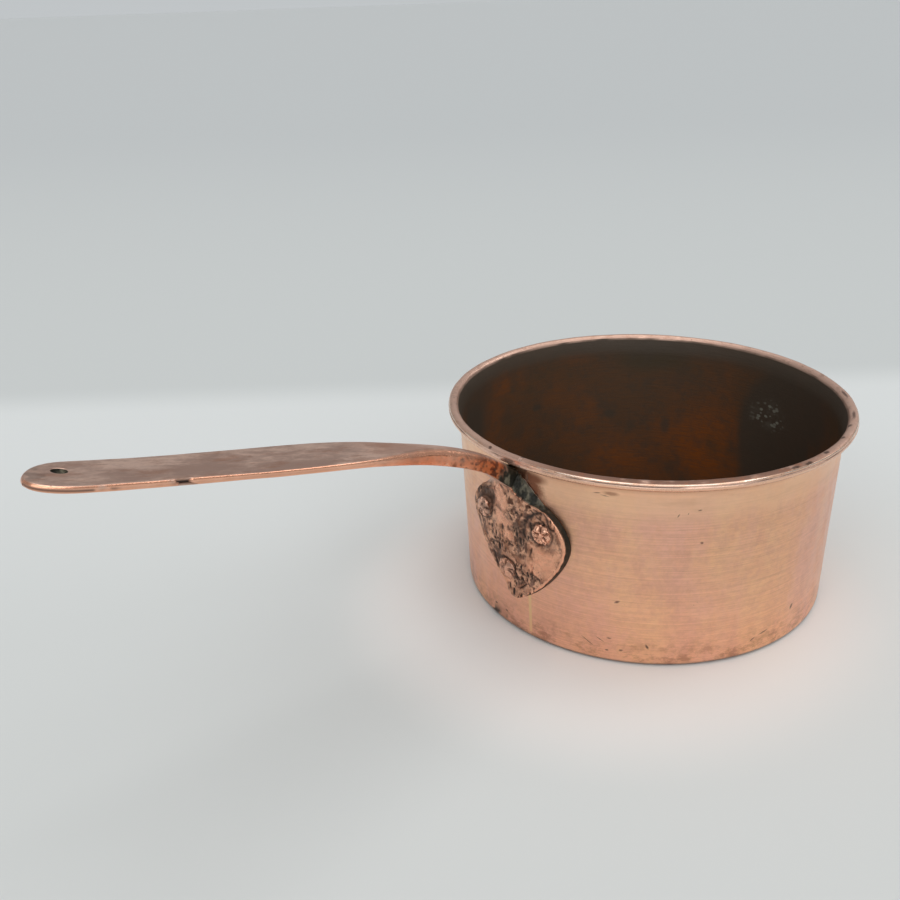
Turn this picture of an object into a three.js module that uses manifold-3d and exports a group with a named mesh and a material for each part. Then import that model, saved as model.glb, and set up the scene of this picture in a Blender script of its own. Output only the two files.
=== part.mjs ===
import * as THREE from "three";
import { mergeVertices } from "three/addons/utils/BufferGeometryUtils.js";
import Module from "manifold-3d";

// Long-handled copper saucepan, in millimetres.
// The origin is the centre of the base's rest face, +Z is up and the handle points along -X.
// "Across" is measured round the pot from the handle's middle plane, positive towards -Y.

// Driving dimensions: sheet, wire and braze
const sheet = 1.4;
const wireRadius = 0.85;
const fit = 0.3;
const seamBraze = 1.7;
const crampBraze = 1.2;

// Driving dimensions: the pot's body
const rimRadius = 105;
const rimOverhang = 6.2;
const wallDraw = 3.5;
const potHeight = 102.2;
const cornerRadius = 3;
const flareHeight = 9;
const flareLean = THREE.MathUtils.degToRad(20);

// Driving dimensions: the seam in the wall and the cramped joint in the base
const seamAcross = 9.2;
const seamFoot = 3.5;
const crampCount = 24;
const crampInset = 5.8;
const crampLength = 7.5;
const crampRootWidth = 8;
const crampTipWidth = 11;

// Driving dimensions: the handle's strap and neck
const strapReach = 216;
const strapRise = 69.1;
const strapStartAngle = THREE.MathUtils.degToRad(37);
const strapEndAngle = THREE.MathUtils.degToRad(15.7);
const strapStartPull = 59.6;
const strapEndPull = 146.8;
const neckWidth = 9.5;
const gripWidth = 28.2;
const tailWidth = 26.2;
const neckEnd = 42;
const gripStart = 112;
const gripEnd = 130;
const tailStart = 175;
const rootThickness = 9.5;
const neckThickness = 7.7;
const strapThickness = 2.6;
const endLength = 19;
const endDrift = 3;
const hangingHoleRadius = 3.25;
const hangingHoleInset = 14;
const hangingHoleAcross = -3.3;
const edgeCut = 0.6;

// Driving dimensions: the handle's palm
const palmThickness = 3.5;
const palmWidth = 61;
const palmShoulder = 77;
const palmWidest = 60;
const palmTip = 23.5;
const palmNeckFlare = 5;
const palmNeckDrop = 7;
const palmShoulderPull = 15;
const palmBellyPull = 10;
const palmTipPull = 15.5;
const palmTipLift = 9.3;
const palmTipHalf = 1.5;
const palmDrift = 3;
const palmRidge = 2;
const palmRidgeFoot = 49.5;
const palmRidgeWidth = 20;

// Driving dimensions: the rivets
const shankRadius = 2.6;
const tailRadius = 5;
const tailHeight = 2.4;
const headRadius = 6;
const headHeight = 2;
const rivets = {
  rivet_left: { across: 12.1 - palmWidth / 2, height: palmWidest + 5.5 },
  rivet_right: { across: palmWidth / 2 - 10.6, height: palmWidest + 5.4 },
  rivet_bottom: { across: -2.2, height: palmTip + 15.1 },
};

// Fineness of the round forms, and the length of the cutters that go right through a sheet
const turnSteps = 64;
const holeSteps = 24;
const rivetSteps = 16;
const wireSteps = 8;
const domeSteps = 4;
const bendSteps = 4;
const curlSteps = 10;
const faceSteps = 8;
const strapSections = 21;
const endSections = 9;
const cutterLength = 28;

// Sizes that follow from the driving ones
const wallTopRadius = rimRadius - rimOverhang;
const footRadius = wallTopRadius - wallDraw;
const crampTipRadius = footRadius - crampInset;
const crampRootRadius = crampTipRadius - crampLength;
const beadRadius = wireRadius + fit + sheet;
const bead = new THREE.Vector2(rimRadius - beadRadius, potHeight - beadRadius);
const flareFoot = bead.y - flareHeight;
const taper = Math.atan2(wallDraw, flareFoot);
const wallRadius = (height) => footRadius + height * Math.tan(taper);
const azimuth = (across) => Math.PI + across / wallTopRadius;

const wasm = await Module();
wasm.setup();

// A closed geometry as a solid that can be joined and cut
function solid(geometry) {
  const bare = geometry.clone();
  bare.deleteAttribute("normal");
  bare.deleteAttribute("uv");
  const merged = mergeVertices(bare, 1e-4);
  return new wasm.Manifold(
    new wasm.Mesh({
      numProp: 3,
      vertProperties: new Float32Array(merged.attributes.position.array),
      triVerts: new Uint32Array(merged.index.array),
    }),
  );
}

// A named mesh from a solid
function piece(name, body, material) {
  const { vertProperties, triVerts } = body.getMesh();
  const geometry = new THREE.BufferGeometry();
  geometry.setAttribute("position", new THREE.BufferAttribute(vertProperties, 3));
  geometry.setIndex(new THREE.BufferAttribute(triVerts, 1));
  geometry.computeVertexNormals();
  const mesh = new THREE.Mesh(geometry, material);
  mesh.name = name;
  return mesh;
}

// A line moved sideways to its right by a distance, with its corners kept sharp
function offsetLine(points, distance, closed) {
  const count = points.length;
  const side = (from, to) => {
    const along = to.clone().sub(from).normalize();
    return new THREE.Vector2(along.y, -along.x);
  };
  return points.map((point, i) => {
    const before = points[closed ? (i + count - 1) % count : Math.max(i - 1, 0)];
    const after = points[closed ? (i + 1) % count : Math.min(i + 1, count - 1)];
    const first = side(before === point ? point : before, before === point ? after : point);
    const second = side(after === point ? before : point, after === point ? point : after);
    const reach = distance / (1 + first.dot(second));
    return point.clone().addScaledVector(first.add(second), reach);
  });
}

// The middle line of the sheet's roll, clockwise over the wire from the flare to its free edge
function curlLine() {
  const radius = beadRadius - sheet / 2;
  const start = Math.PI - flareLean;
  const end = -Math.acos(-wireRadius / beadRadius);
  return new THREE.EllipseCurve(bead.x, bead.y, radius, radius, start, end, true).getPoints(curlSteps);
}

// The middle line of the sheet below its roll: turned-in foot, corner, tapered wall and flare
function wallLine() {
  const half = sheet / 2;
  const cornerX = wallRadius(cornerRadius) - cornerRadius / Math.cos(taper);
  const bend = cornerRadius - half;
  const corner = new THREE.EllipseCurve(cornerX, cornerRadius, bend, bend, -Math.PI / 2, -taper);
  const top = new THREE.Vector2(wallRadius(flareFoot) - half / Math.cos(taper), flareFoot);
  const meet = curlLine()[0];
  const pull = flareHeight / 3;
  const flare = new THREE.CubicBezierCurve(
    top,
    top.clone().add(new THREE.Vector2(pull * Math.sin(taper), pull * Math.cos(taper))),
    meet.clone().sub(new THREE.Vector2(pull * Math.sin(flareLean), pull * Math.cos(flareLean))),
    meet,
  );
  const inside = new THREE.Vector2(crampRootRadius - crampBraze, half);
  return [inside, ...corner.getPoints(bendSteps), ...flare.getPoints(bendSteps)];
}

// The wall's sheet turned round the Z axis, before it is cut
function rolledSheet() {
  const line = [...wallLine(), ...curlLine().slice(1)];
  const outer = offsetLine(line, sheet / 2, false);
  const inner = offsetLine(line, -sheet / 2, false).reverse();
  const shell = new THREE.LatheGeometry([...outer, ...inner, outer[0]], turnSteps);
  return solid(shell.rotateX(Math.PI / 2));
}

// The strip of the wall that the side seam takes, widened by a clearance
function seamStrip(clearance) {
  const depth = rimRadius - footRadius + 2 * cornerRadius;
  const box = new THREE.BoxGeometry(2 * depth, seamBraze + 2 * clearance, potHeight);
  box.translate(rimRadius - depth / 2, 0, potHeight / 2 + seamFoot + fit - clearance);
  return solid(box.rotateZ(azimuth(seamAcross)));
}

// The zigzag joint between base and foot: dovetail cramps that are wider at their tips
function crampLine() {
  const points = [];
  const corners = [
    [crampRootRadius, -crampRootWidth],
    [crampTipRadius, -crampTipWidth],
    [crampTipRadius, crampTipWidth],
    [crampRootRadius, crampRootWidth],
  ];
  for (let i = 0; i < crampCount; i += 1) {
    for (const [radius, width] of corners) {
      const corner = new THREE.Vector2(radius, width / 2);
      points.push(corner.rotateAround(new THREE.Vector2(), (i * 2 * Math.PI) / crampCount));
    }
  }
  return points;
}

// A plate inside the cramp line moved outwards by a distance, with an optional hole of the same form
function crampPlate(distance, holeDistance, from, to) {
  const line = crampLine();
  const shape = new THREE.Shape(offsetLine(line, distance, true));
  if (holeDistance !== null) {
    shape.holes.push(new THREE.Path(offsetLine(line, holeDistance, true)));
  }
  const plate = new THREE.ExtrudeGeometry(shape, { depth: to - from, bevelEnabled: false });
  return solid(plate.translate(0, 0, from));
}

// A solid through closed rings of equal length, whose points run along one face and back along the other
function loft(rings) {
  const size = rings[0].length;
  const indices = [];
  for (let r = 0; r + 1 < rings.length; r += 1) {
    for (let i = 0; i < size; i += 1) {
      const a = r * size + i;
      const b = r * size + ((i + 1) % size);
      indices.push(a, b + size, b, a, a + size, b + size);
    }
  }
  const last = (rings.length - 1) * size;
  for (let i = 0; i < size / 2 - 1; i += 1) {
    const far = size - 1 - i;
    indices.push(i, far - 1, far, i, i + 1, far - 1);
    indices.push(last + i, last + far, last + far - 1, last + i, last + far - 1, last + i + 1);
  }
  const geometry = new THREE.BufferGeometry().setFromPoints(rings.flat());
  geometry.setIndex(indices);
  return geometry;
}

// A point of the handle's middle plane moved across it, wholly or partly bent round the pot's axis
function bent(point, across, bend) {
  const angle = (bend * across) / wallTopRadius;
  const y = point.x * Math.sin(angle) + (1 - bend) * across;
  return new THREE.Vector3(-point.x * Math.cos(angle), -y, point.y);
}

// One section of the handle: its face away from the pot's wall, then its face towards it
function rib({ front, back, frontHalf, backHalf, middle = 0, bend, ridge = 0 }) {
  const steps = Array.from({ length: faceSteps + 1 }, (_, i) => (2 * i) / faceSteps - 1);
  const cut = Math.min(edgeCut, frontHalf / 2);
  const depth = Math.min(edgeCut / front.distanceTo(back), 1 / 3);
  const at = (share, across) => bent(front.clone().lerp(back, share), middle + across, bend);
  const sideHalf = (share) => THREE.MathUtils.lerp(frontHalf, backHalf, share);
  const face = steps.map((step) => {
    const across = step * (frontHalf - cut);
    const swell = Math.max(0, 1 - (2 * across / palmRidgeWidth) ** 2) ** 2;
    const raised = front.clone().setX(front.x + ridge * swell);
    return bent(raised, middle + across, bend);
  });
  const seat = steps.map((step) => at(1, -step * (backHalf - cut)));
  const right = [depth, 1 - depth].map((share) => at(share, sideHalf(share)));
  const left = [1 - depth, depth].map((share) => at(share, -sideHalf(share)));
  return [...face, ...right, ...seat, ...left];
}

// Where the neck's top would meet the wall when it passes just under the rolled rim
function neckRoot() {
  const reach = bead.x - wallTopRadius;
  const drop = (beadRadius + fit) / Math.cos(strapStartAngle) + reach * Math.tan(strapStartAngle);
  return new THREE.Vector2(wallTopRadius, bead.y - drop);
}

// The line along the middle of the strap's top face, as distance from the pot's axis and height
function strapSpine(root) {
  const tip = root.clone().add(new THREE.Vector2(strapReach, strapRise));
  const leave = new THREE.Vector2(Math.cos(strapStartAngle), Math.sin(strapStartAngle));
  const arrive = new THREE.Vector2(Math.cos(strapEndAngle), Math.sin(strapEndAngle));
  return new THREE.CubicBezierCurve(
    root,
    root.clone().addScaledVector(leave, strapStartPull),
    tip.clone().addScaledVector(arrive, -strapEndPull),
    tip,
  );
}

// How far a place lies into the strap's rounded end, from 0 to 1
const intoEnd = (distance, length) => Math.max(0, distance - (length - endLength)) / endLength;

function strapHalfWidth(distance, length) {
  const { smoothstep, lerp } = THREE.MathUtils;
  const flared = lerp(neckWidth, gripWidth, smoothstep(distance, neckEnd, gripStart));
  const width = lerp(flared, tailWidth, smoothstep(distance, gripEnd, tailStart));
  return (width / 2) * Math.sqrt(1 - intoEnd(distance, length) ** 2);
}

function strapDepth(distance) {
  const { smoothstep, lerp } = THREE.MathUtils;
  const neck = lerp(rootThickness, neckThickness, smoothstep(distance, 0, neckEnd / 2));
  return lerp(neck, strapThickness, smoothstep(distance, neckEnd, gripStart));
}

// Distances along the strap at which it has a section
function strapStations(length) {
  const stations = [];
  for (let i = 1; i <= strapSections; i += 1) {
    stations.push((i / strapSections) * (length - endLength));
  }
  for (let i = 1; i <= endSections; i += 1) {
    const turn = ((i / (endSections + 1)) * Math.PI) / 2;
    stations.push(length - endLength * (1 - Math.sin(turn)));
  }
  return stations;
}

function strapRibs(spine) {
  const length = spine.getLength();
  return strapStations(length).map((distance) => {
    const back = spine.getPointAt(distance / length);
    const along = spine.getTangentAt(distance / length);
    const down = new THREE.Vector2(along.y, -along.x);
    const front = back.clone().addScaledVector(down, strapDepth(distance));
    const half = strapHalfWidth(distance, length);
    const middle = endDrift * intoEnd(distance, length) ** 2;
    return rib({ front, back, frontHalf: half, backHalf: half, middle, bend: 0 });
  });
}

// Half width against height down the leaf-shaped palm
function palmEdge(neckTop) {
  const neckHalf = neckWidth / 2;
  const half = palmWidth / 2;
  const upper = new THREE.CubicBezierCurve(
    new THREE.Vector2(neckHalf, neckTop),
    new THREE.Vector2(neckHalf + palmNeckFlare, neckTop - palmNeckDrop),
    new THREE.Vector2(half, palmWidest + palmShoulderPull),
    new THREE.Vector2(half, palmWidest),
  );
  const lower = new THREE.CubicBezierCurve(
    new THREE.Vector2(half, palmWidest),
    new THREE.Vector2(half, palmWidest - palmBellyPull),
    new THREE.Vector2(palmTipHalf + palmTipPull, palmTip + palmTipLift),
    new THREE.Vector2(palmTipHalf, palmTip),
  );
  return [...upper.getPoints(9), ...lower.getPoints(11).slice(1)];
}

// Sections down the palm, whose back reaches into the wall and is cut to it later
function palmRibs(root) {
  const down = new THREE.Vector2(Math.sin(strapStartAngle), -Math.cos(strapStartAngle));
  const underNeck = root.clone().addScaledVector(down, rootThickness);
  const faceRadius = (height) => wallRadius(height) + fit + palmThickness;
  const reach = underNeck.x - faceRadius(palmShoulder);
  const knee = underNeck.clone();
  knee.sub(new THREE.Vector2(reach, reach * Math.tan(strapStartAngle)));
  const shoulder = new THREE.Vector2(faceRadius(palmShoulder), palmShoulder);
  const fillet = new THREE.QuadraticBezierCurve(shoulder, knee, underNeck);
  return palmEdge(root.y).map(({ x: half, y: height }) => {
    const rise = THREE.MathUtils.clamp((height - palmShoulder) / (root.y - palmShoulder), 0, 1);
    const flat = new THREE.Vector2(faceRadius(height), height);
    const front = height > palmShoulder ? fillet.getPoint(rise) : flat;
    const back = new THREE.Vector2(wallRadius(height) - fit, height);
    const frontHalf = THREE.MathUtils.lerp(neckWidth / 2, half, (1 - rise) ** 2);
    const middle = (palmDrift * (root.y - height)) / (root.y - palmTip);
    const ridge = palmRidge * THREE.MathUtils.smoothstep(height, palmRidgeFoot, palmShoulder);
    return rib({ front, back, frontHalf, backHalf: half, middle, bend: 1, ridge: ridge * (1 - rise) });
  });
}

// Everything that the pot's body takes up, with the fitting gap all round it
function potEnvelope() {
  const skin = offsetLine(wallLine(), sheet / 2 + fit, false);
  const foot = new THREE.Vector2(0, skin[0].y);
  const top = new THREE.Vector2(0, skin.at(-1).y);
  const body = new THREE.LatheGeometry([foot, ...skin, top, foot], turnSteps).rotateX(Math.PI / 2);
  const rim = new THREE.TorusGeometry(bead.x, beadRadius + fit, rivetSteps, turnSteps);
  return solid(body).add(solid(rim.translate(0, 0, bead.y)));
}

function hangingHole(spine) {
  const length = spine.getLength();
  const share = (length - hangingHoleInset) / length;
  const centre = spine.getPointAt(share);
  const along = spine.getTangentAt(share);
  const radius = hangingHoleRadius;
  const hole = new THREE.CylinderGeometry(radius, radius, cutterLength, holeSteps);
  hole.rotateX(Math.PI / 2).rotateY(Math.atan2(along.y, along.x));
  return solid(hole.translate(-centre.x, -hangingHoleAcross, centre.y));
}

// Sets a geometry made along +X, with x = 0 on the wall's outer face, at a rivet's place
function atRivet(geometry, { across, height }) {
  geometry.rotateY(taper).translate(wallRadius(height), 0, height);
  return solid(geometry.rotateZ(azimuth(across)));
}

function rivetHole(place) {
  const radius = shankRadius + fit;
  const hole = new THREE.CylinderGeometry(radius, radius, cutterLength, rivetSteps);
  return atRivet(hole.rotateZ(-Math.PI / 2), place);
}

// A low dome as (radius, distance) points, from its rim to its crown
function dome(radius, base, crown) {
  return Array.from({ length: domeSteps + 1 }, (_, i) => {
    const turn = ((i / domeSteps) * Math.PI) / 2;
    return new THREE.Vector2(radius * Math.cos(turn), base + (crown - base) * Math.sin(turn));
  });
}

// A rivet with its made head inside the pot and its hammered tail on the palm
function rivet(place) {
  const hollow = headRadius ** 2 / (2 * (footRadius - sheet));
  const headBase = -(sheet + fit + hollow);
  const tailBase = fit + palmThickness + fit;
  const profile = [
    ...dome(headRadius, headBase, headBase - headHeight).reverse(),
    new THREE.Vector2(shankRadius, headBase),
    new THREE.Vector2(shankRadius, tailBase),
    ...dome(tailRadius, tailBase, tailBase + tailHeight),
  ];
  const body = new THREE.LatheGeometry(profile, rivetSteps).rotateZ(-Math.PI / 2);
  return atRivet(body, place);
}

const copper = new THREE.MeshStandardMaterial({ color: 0xb97a5c, roughness: 0.38, metalness: 1 });
const wornCopper = new THREE.MeshStandardMaterial({ color: 0x9a7564, roughness: 0.5, metalness: 1 });
const brightCopper = new THREE.MeshStandardMaterial({ color: 0xd69474, roughness: 0.3, metalness: 1 });
const brass = new THREE.MeshStandardMaterial({ color: 0xd0a566, roughness: 0.4, metalness: 1 });
const iron = new THREE.MeshStandardMaterial({ color: 0x4a4644, roughness: 0.7, metalness: 1 });

const places = Object.values(rivets);
const pan = new THREE.Group();

const formed = rolledSheet();
const socket = crampPlate(crampBraze / 2 + fit, null, -sheet, 2 * sheet);
let wall = formed.subtract(socket).subtract(seamStrip(fit));
for (const place of places) {
  wall = wall.subtract(rivetHole(place));
}
pan.add(piece("pot_wall", wall, copper));
pan.add(piece("side_seam_braze", formed.intersect(seamStrip(0)), brass));
pan.add(piece("pot_base", crampPlate(-crampBraze / 2 - fit, null, 0, sheet), copper));
pan.add(piece("base_seam_braze", crampPlate(crampBraze / 2, -crampBraze / 2, fit, sheet), brass));

const wireRing = new THREE.TorusGeometry(bead.x, wireRadius, wireSteps, turnSteps);
const wireEnds = new THREE.BoxGeometry(4 * wireRadius, fit, 4 * wireRadius);
wireRing.translate(0, 0, bead.y);
wireEnds.translate(bead.x, 0, bead.y);
pan.add(piece("rim_wire", solid(wireRing).subtract(solid(wireEnds)), iron));

const root = neckRoot();
const spine = strapSpine(root);
let handle = solid(loft([...strapRibs(spine).reverse(), ...palmRibs(root)]));
handle = handle.subtract(potEnvelope()).subtract(hangingHole(spine));
for (const place of places) {
  handle = handle.subtract(rivetHole(place));
}
pan.add(piece("handle", handle, wornCopper));

for (const [name, place] of Object.entries(rivets)) {
  pan.add(piece(name, rivet(place), brightCopper));
}

export default pan;
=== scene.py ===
"""Looks of a long-handled copper saucepan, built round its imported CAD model."""

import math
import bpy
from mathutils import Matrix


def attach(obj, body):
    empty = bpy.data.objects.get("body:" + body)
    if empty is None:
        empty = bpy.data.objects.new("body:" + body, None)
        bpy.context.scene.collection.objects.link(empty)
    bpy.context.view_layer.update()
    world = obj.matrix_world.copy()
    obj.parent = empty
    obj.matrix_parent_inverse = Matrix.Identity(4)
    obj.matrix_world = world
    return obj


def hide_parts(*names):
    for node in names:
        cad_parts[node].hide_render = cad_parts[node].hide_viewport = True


bl_info = {
    "name": "Copper saucepan",
    "version": (1, 0, 0),
    "blender": (4, 5, 0),
    "location": "3D View > Sidebar > Saucepan",
    "description": "Builds a riveted copper saucepan piece by piece, with worn copper finishes and a studio",
    "category": "Object",
}

import bpy
import numpy as np
from bpy.props import FloatProperty, FloatVectorProperty, PointerProperty
from mathutils import Matrix, Vector

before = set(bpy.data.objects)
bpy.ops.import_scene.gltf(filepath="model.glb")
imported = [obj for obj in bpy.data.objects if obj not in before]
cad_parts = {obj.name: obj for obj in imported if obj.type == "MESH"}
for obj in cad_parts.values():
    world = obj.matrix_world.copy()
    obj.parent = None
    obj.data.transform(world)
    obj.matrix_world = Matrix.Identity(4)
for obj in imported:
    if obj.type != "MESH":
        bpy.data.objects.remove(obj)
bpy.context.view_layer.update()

MM = 0.001
TURN = 2 * math.pi

# The body that every piece rides on, the cell and shift that weld points, and the angle of a sharp edge
BODY = "root"
WELD = 1e-6
WELD_SHIFT = 0.377
SHARP = math.radians(48)

# Factors and bit masks that turn a cell's indices and a seed into a random number, and the gain of soft noise
INDEX_PRIMES = (374761393, 668265263, 2147483629)
SEED_FACTOR = 144269504
BLEND_FACTOR = 1274126177
ALL_BITS = 0xFFFFFFFF
HALF_BITS = 0xFFFF
CLOUD_GAIN = 1.6

# Numbers of the mix node's sockets for its first and second colour and for the result
MIX_FIRST, MIX_SECOND, MIX_RESULT = 6, 7, 2

# Rows and columns of the pot's grids, samples of its lines, and columns that make room for the seam
CRAMPS = 24
CRAMP_STEPS = (2, 6, 2, 8)
SEAM_ROOM = 12
FOOT_ROWS = 6
CORNER_ROWS = 8
WALL_ROWS = 28
FLARE_ROWS = 9
FLARE_SAMPLES = 30
ROLL_ROWS = 60
DISC_ROWS = 30
WIRE_ROWS = 320
WIRE_COLUMNS = 17

# Rows and columns of the handle's and rivets' grids, and samples of their lines
STRAP_ROWS = 200
END_ROWS = 36
PALM_ROWS = 210
SPINE_SAMPLES = 800
LEAF_SAMPLES = 400
TOP_COLUMNS = 61
PALM_COLUMNS = 121
EDGE_STEPS = 7
SIDE_STEPS = 9
SIDE = 2 * (EDGE_STEPS - 1) + SIDE_STEPS - 1
HOLE_ROWS = 6
TAIL_ROWS = 34
HEAD_ROWS = 16
RIVET_COLUMNS = 144
RIVET_CRACKS = 6

# Azimuths off a cramp's middle, in degrees, that its root and tip columns run towards
OUTER_FAN = (4.3, 3.3)
INNER_FAN = (2.8, 1.8)

# Rivets: place across the palm and height, and how dirty each is
RIVETS = {
    "rivet_left": (-18.4 * MM, 65.5 * MM),
    "rivet_right": (19.9 * MM, 65.4 * MM),
    "rivet_bottom": (-2.2 * MM, 38.6 * MM),
}
RIVET_DIRT = {"rivet_left": 0.6, "rivet_right": 0.15, "rivet_bottom": 0.4}

# Round marks on the palm: place across, height and radius in millimetres
PITTED = ((5, 60, 12), (-8, 52, 10), (14, 66, 9))
RUBBED = ((22, 48, 12), (-4, 34, 6), (-6, 77, 9), (-3, 66, 6), (-1, 58, 5))

# Cracks in the palm: width, then places across and heights along the crack, in millimetres
PALM_CRACKS = (
    (0.6, (20.1, 78.3), (22.1, 75.2), (23.1, 71.8), (23.6, 68.7), (26.2, 69.0), (27.7, 72.1)),
    (1.0, (19.5, 76.5), (15.8, 74.7), (11.7, 71.1), (9.8, 66.6), (9.0, 61.9), (11.3, 58.9)),
    (0.5, (14.1, 75.7), (17.3, 73.1), (20.0, 71.8)),
    (1.3, (-15.7, 72.6), (-13.5, 69.7), (-12.8, 66.6)),
    (0.6, (2.5, 41.2), (3.6, 38.3), (4.8, 34.8)),
    (0.6, (7.6, 39.4), (10.6, 38.4)),
    (0.5, (5.5, 34.5), (7.3, 33.6)),
    (0.5, (13.2, 45.8), (13.7, 43.1), (13.0, 38.8)),
    (0.5, (15.4, 40.4), (17.7, 39.0)),
    (0.5, (12.8, 50.7), (14.1, 55.6)),
    (0.6, (1.9, 70.6), (3.1, 67.8)),
    (0.6, (5.7, 72.7), (7.0, 71.5)),
    (0.5, (-0.4, 52.5), (2.3, 52.5)),
    (0.5, (10.4, 33.8), (5.9, 29.4)),
    (1.2, (-12.3, 42.4), (-10.2, 37.0)),
    (0.5, (13.0, 58.5), (17.0, 58.3), (20.9, 59.7)),
)

# Scratches outside the wall: azimuth, height, length, lean and width, in degrees and millimetres
OUTSIDE_NICKS = (
    (-125.8, 68.5, 1.0, 0, 0.9),
    (-147.5, 35.2, 2.0, 28, 0.9),
    (-91.7, 18.5, 2.2, 65, 1.3),
    (-138.7, 11.3, 2.2, -60, 0.8),
    (-103.1, 11.1, 3.8, 12, 0.6),
    (-107.0, 9.0, 2.4, 30, 0.5),
    (-153.0, 95.0, 1.6, 80, 0.35),
    (-152.2, 94.6, 1.4, 75, 0.3),
    (-132.5, 83.0, 1.6, 65, 0.5),
    (-127.0, 85.5, 1.4, 5, 0.5),
    (-146.0, 8.0, 1.4, 10, 0.7),
    (-149.5, 14.0, 1.6, 0, 0.5),
    (-155.5, 10.0, 5.5, -35, 0.3),
    (-152.0, 12.5, 3.2, -30, 0.3),
    (-150.0, 7.0, 1.2, 0, 0.6),
    (-153.6, 92.0, 2.6, 8, 0.3),
    (-151.5, 91.0, 3.2, -8, 0.3),
    (-130.0, 84.0, 0.8, 70, 0.4),
    (169.6, 8.0, 1.6, 10, 0.9),
    (175.0, 8.0, 1.4, 0, 0.8),
)

# Nicks in the rim: azimuth, height, length, width and radius, in degrees and millimetres
RIM_NICKS = (
    (-44.5, 102.0, 8.0, 1.0, 101.6),
    (-60.5, 102.0, 7.5, 1.2, 101.8),
    (-68.5, 101.5, 2.2, 1.6, 100.9),
    (-77.8, 101.8, 2.2, 1.6, 101.2),
    (-89.5, 102.1, 2.5, 1.4, 102.4),
    (-97.8, 101.8, 3.4, 1.2, 103.7),
    (-102.5, 101.9, 3.6, 1.0, 103.5),
    (174.5, 101.5, 1.6, 1.2, 104.0),
    (-178.0, 99.6, 5.5, 1.8, 104.8),
)

# Dark spots inside the wall: azimuth, height, length and width, in degrees and millimetres
INSIDE_SPOTS = ((31.0, 45.0, 4, 8), (51.5, 52.0, 6, 4), (81.5, 63.0, 5, 3))

# The picture: the camera's place and axes, its sensor and lens in millimetres, and its shift in pixels
CAMERA_PLACE = (-0.39404, -0.30786, 0.29788)
CAMERA_RIGHT = (0.75754, -0.65207, -0.03073)
CAMERA_UP = (0.26821, 0.26797, 0.92534)
CAMERA_BACK = (-0.59516, -0.70922, 0.37788)
SENSOR_WIDTH, LENS = 36, 40
SHIFT_PIXELS, PICTURE_PIXELS = -42, 900

# The floor: how far it reaches, the way back over it, and the middle of the painted pool of light round the
# pot
FLOOR_REACH = 80.0
BACKWARD = (0.642, 0.766, 0.0)
PAINTED_GLOW_MIDDLE = (-35 * MM, -5 * MM, 0.0)

# Lights: name, direction that the light comes from, spread in degrees, and strength
LIGHTS = (
    ("front_softbox", (-0.6, -0.8, 1.25), 85, 1.45),
    ("left_strip", (-1.0, -0.2, 0.76), 15, 0.07),
    ("middle_strip", (-0.6, -0.8, 0.74), 15, 0.07),
    ("right_strip", (0.1, -1.0, 0.76), 15, 0.07),
    ("side_softbox", (0.8, -0.3, 0.62), 26, 0.3),
    ("overhead_softbox", (0.25, 0.1, 1.0), 40, 0.65),
)


# Properties


def length(name, description, default):
    """A size in metres."""
    return FloatProperty(name=name, description=description, default=default, unit="LENGTH", min=0)


def angle(name, description, degrees):
    """An angle, given in degrees."""
    return FloatProperty(name=name, description=description, default=math.radians(degrees), subtype="ANGLE")


def colour(name, description, default):
    """A colour, given in linear light."""
    settings = {"subtype": "COLOR", "size": 3, "min": 0, "max": 1}
    return FloatVectorProperty(name=name, description=description, default=default, **settings)


class PanBodySizes(bpy.types.PropertyGroup):
    """Sizes of the pot's sheet, rim, seam and base"""

    sheet: length("Sheet", "Thickness of the copper sheet", 1.4 * MM)
    fit: length("Fit", "Gap between neighbouring pieces", 0.3 * MM)
    wire: length("Wire radius", "Radius of the wire inside the rim", 0.85 * MM)
    rim: length("Rim radius", "Outer radius of the rolled rim", 105 * MM)
    wall_top: length("Wall top radius", "Outer radius of the wall below its flare", 98.8 * MM)
    foot: length("Foot radius", "Outer radius of the wall at the base", 95.3 * MM)
    height: length("Height", "Height of the rim over the base", 102.2 * MM)
    corner: length("Corner radius", "Outer radius of the bend at the foot", 3 * MM)
    flare: length("Flare height", "Height of the flare below the rim's middle", 9 * MM)
    flare_lean: angle("Flare lean", "Outward lean of the flare where the roll starts", 20)
    cramp_root: length("Cramp root radius", "Radius at the roots of the base's cramps", 82 * MM)
    cramp_tip: length("Cramp tip radius", "Radius at the tips of the base's cramps", 89.5 * MM)
    cramp_root_width: length("Cramp root width", "Width of a cramp at its root", 8 * MM)
    cramp_tip_width: length("Cramp tip width", "Width of a cramp at its tip", 11 * MM)
    braze: length("Base braze", "Width of the brazed line in the base", 1.2 * MM)
    seam: length("Seam braze", "Width of the brazed line in the wall", 1.7 * MM)
    seam_across: length("Seam place", "Distance of the seam from the handle, round the wall", 9.2 * MM)
    seam_foot: length("Seam foot", "Height at which the seam's braze starts", 3.8 * MM)
    unevenness: length("Unevenness", "Depth of the hollows that the hammer left in the wall", 0.35 * MM)


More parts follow.
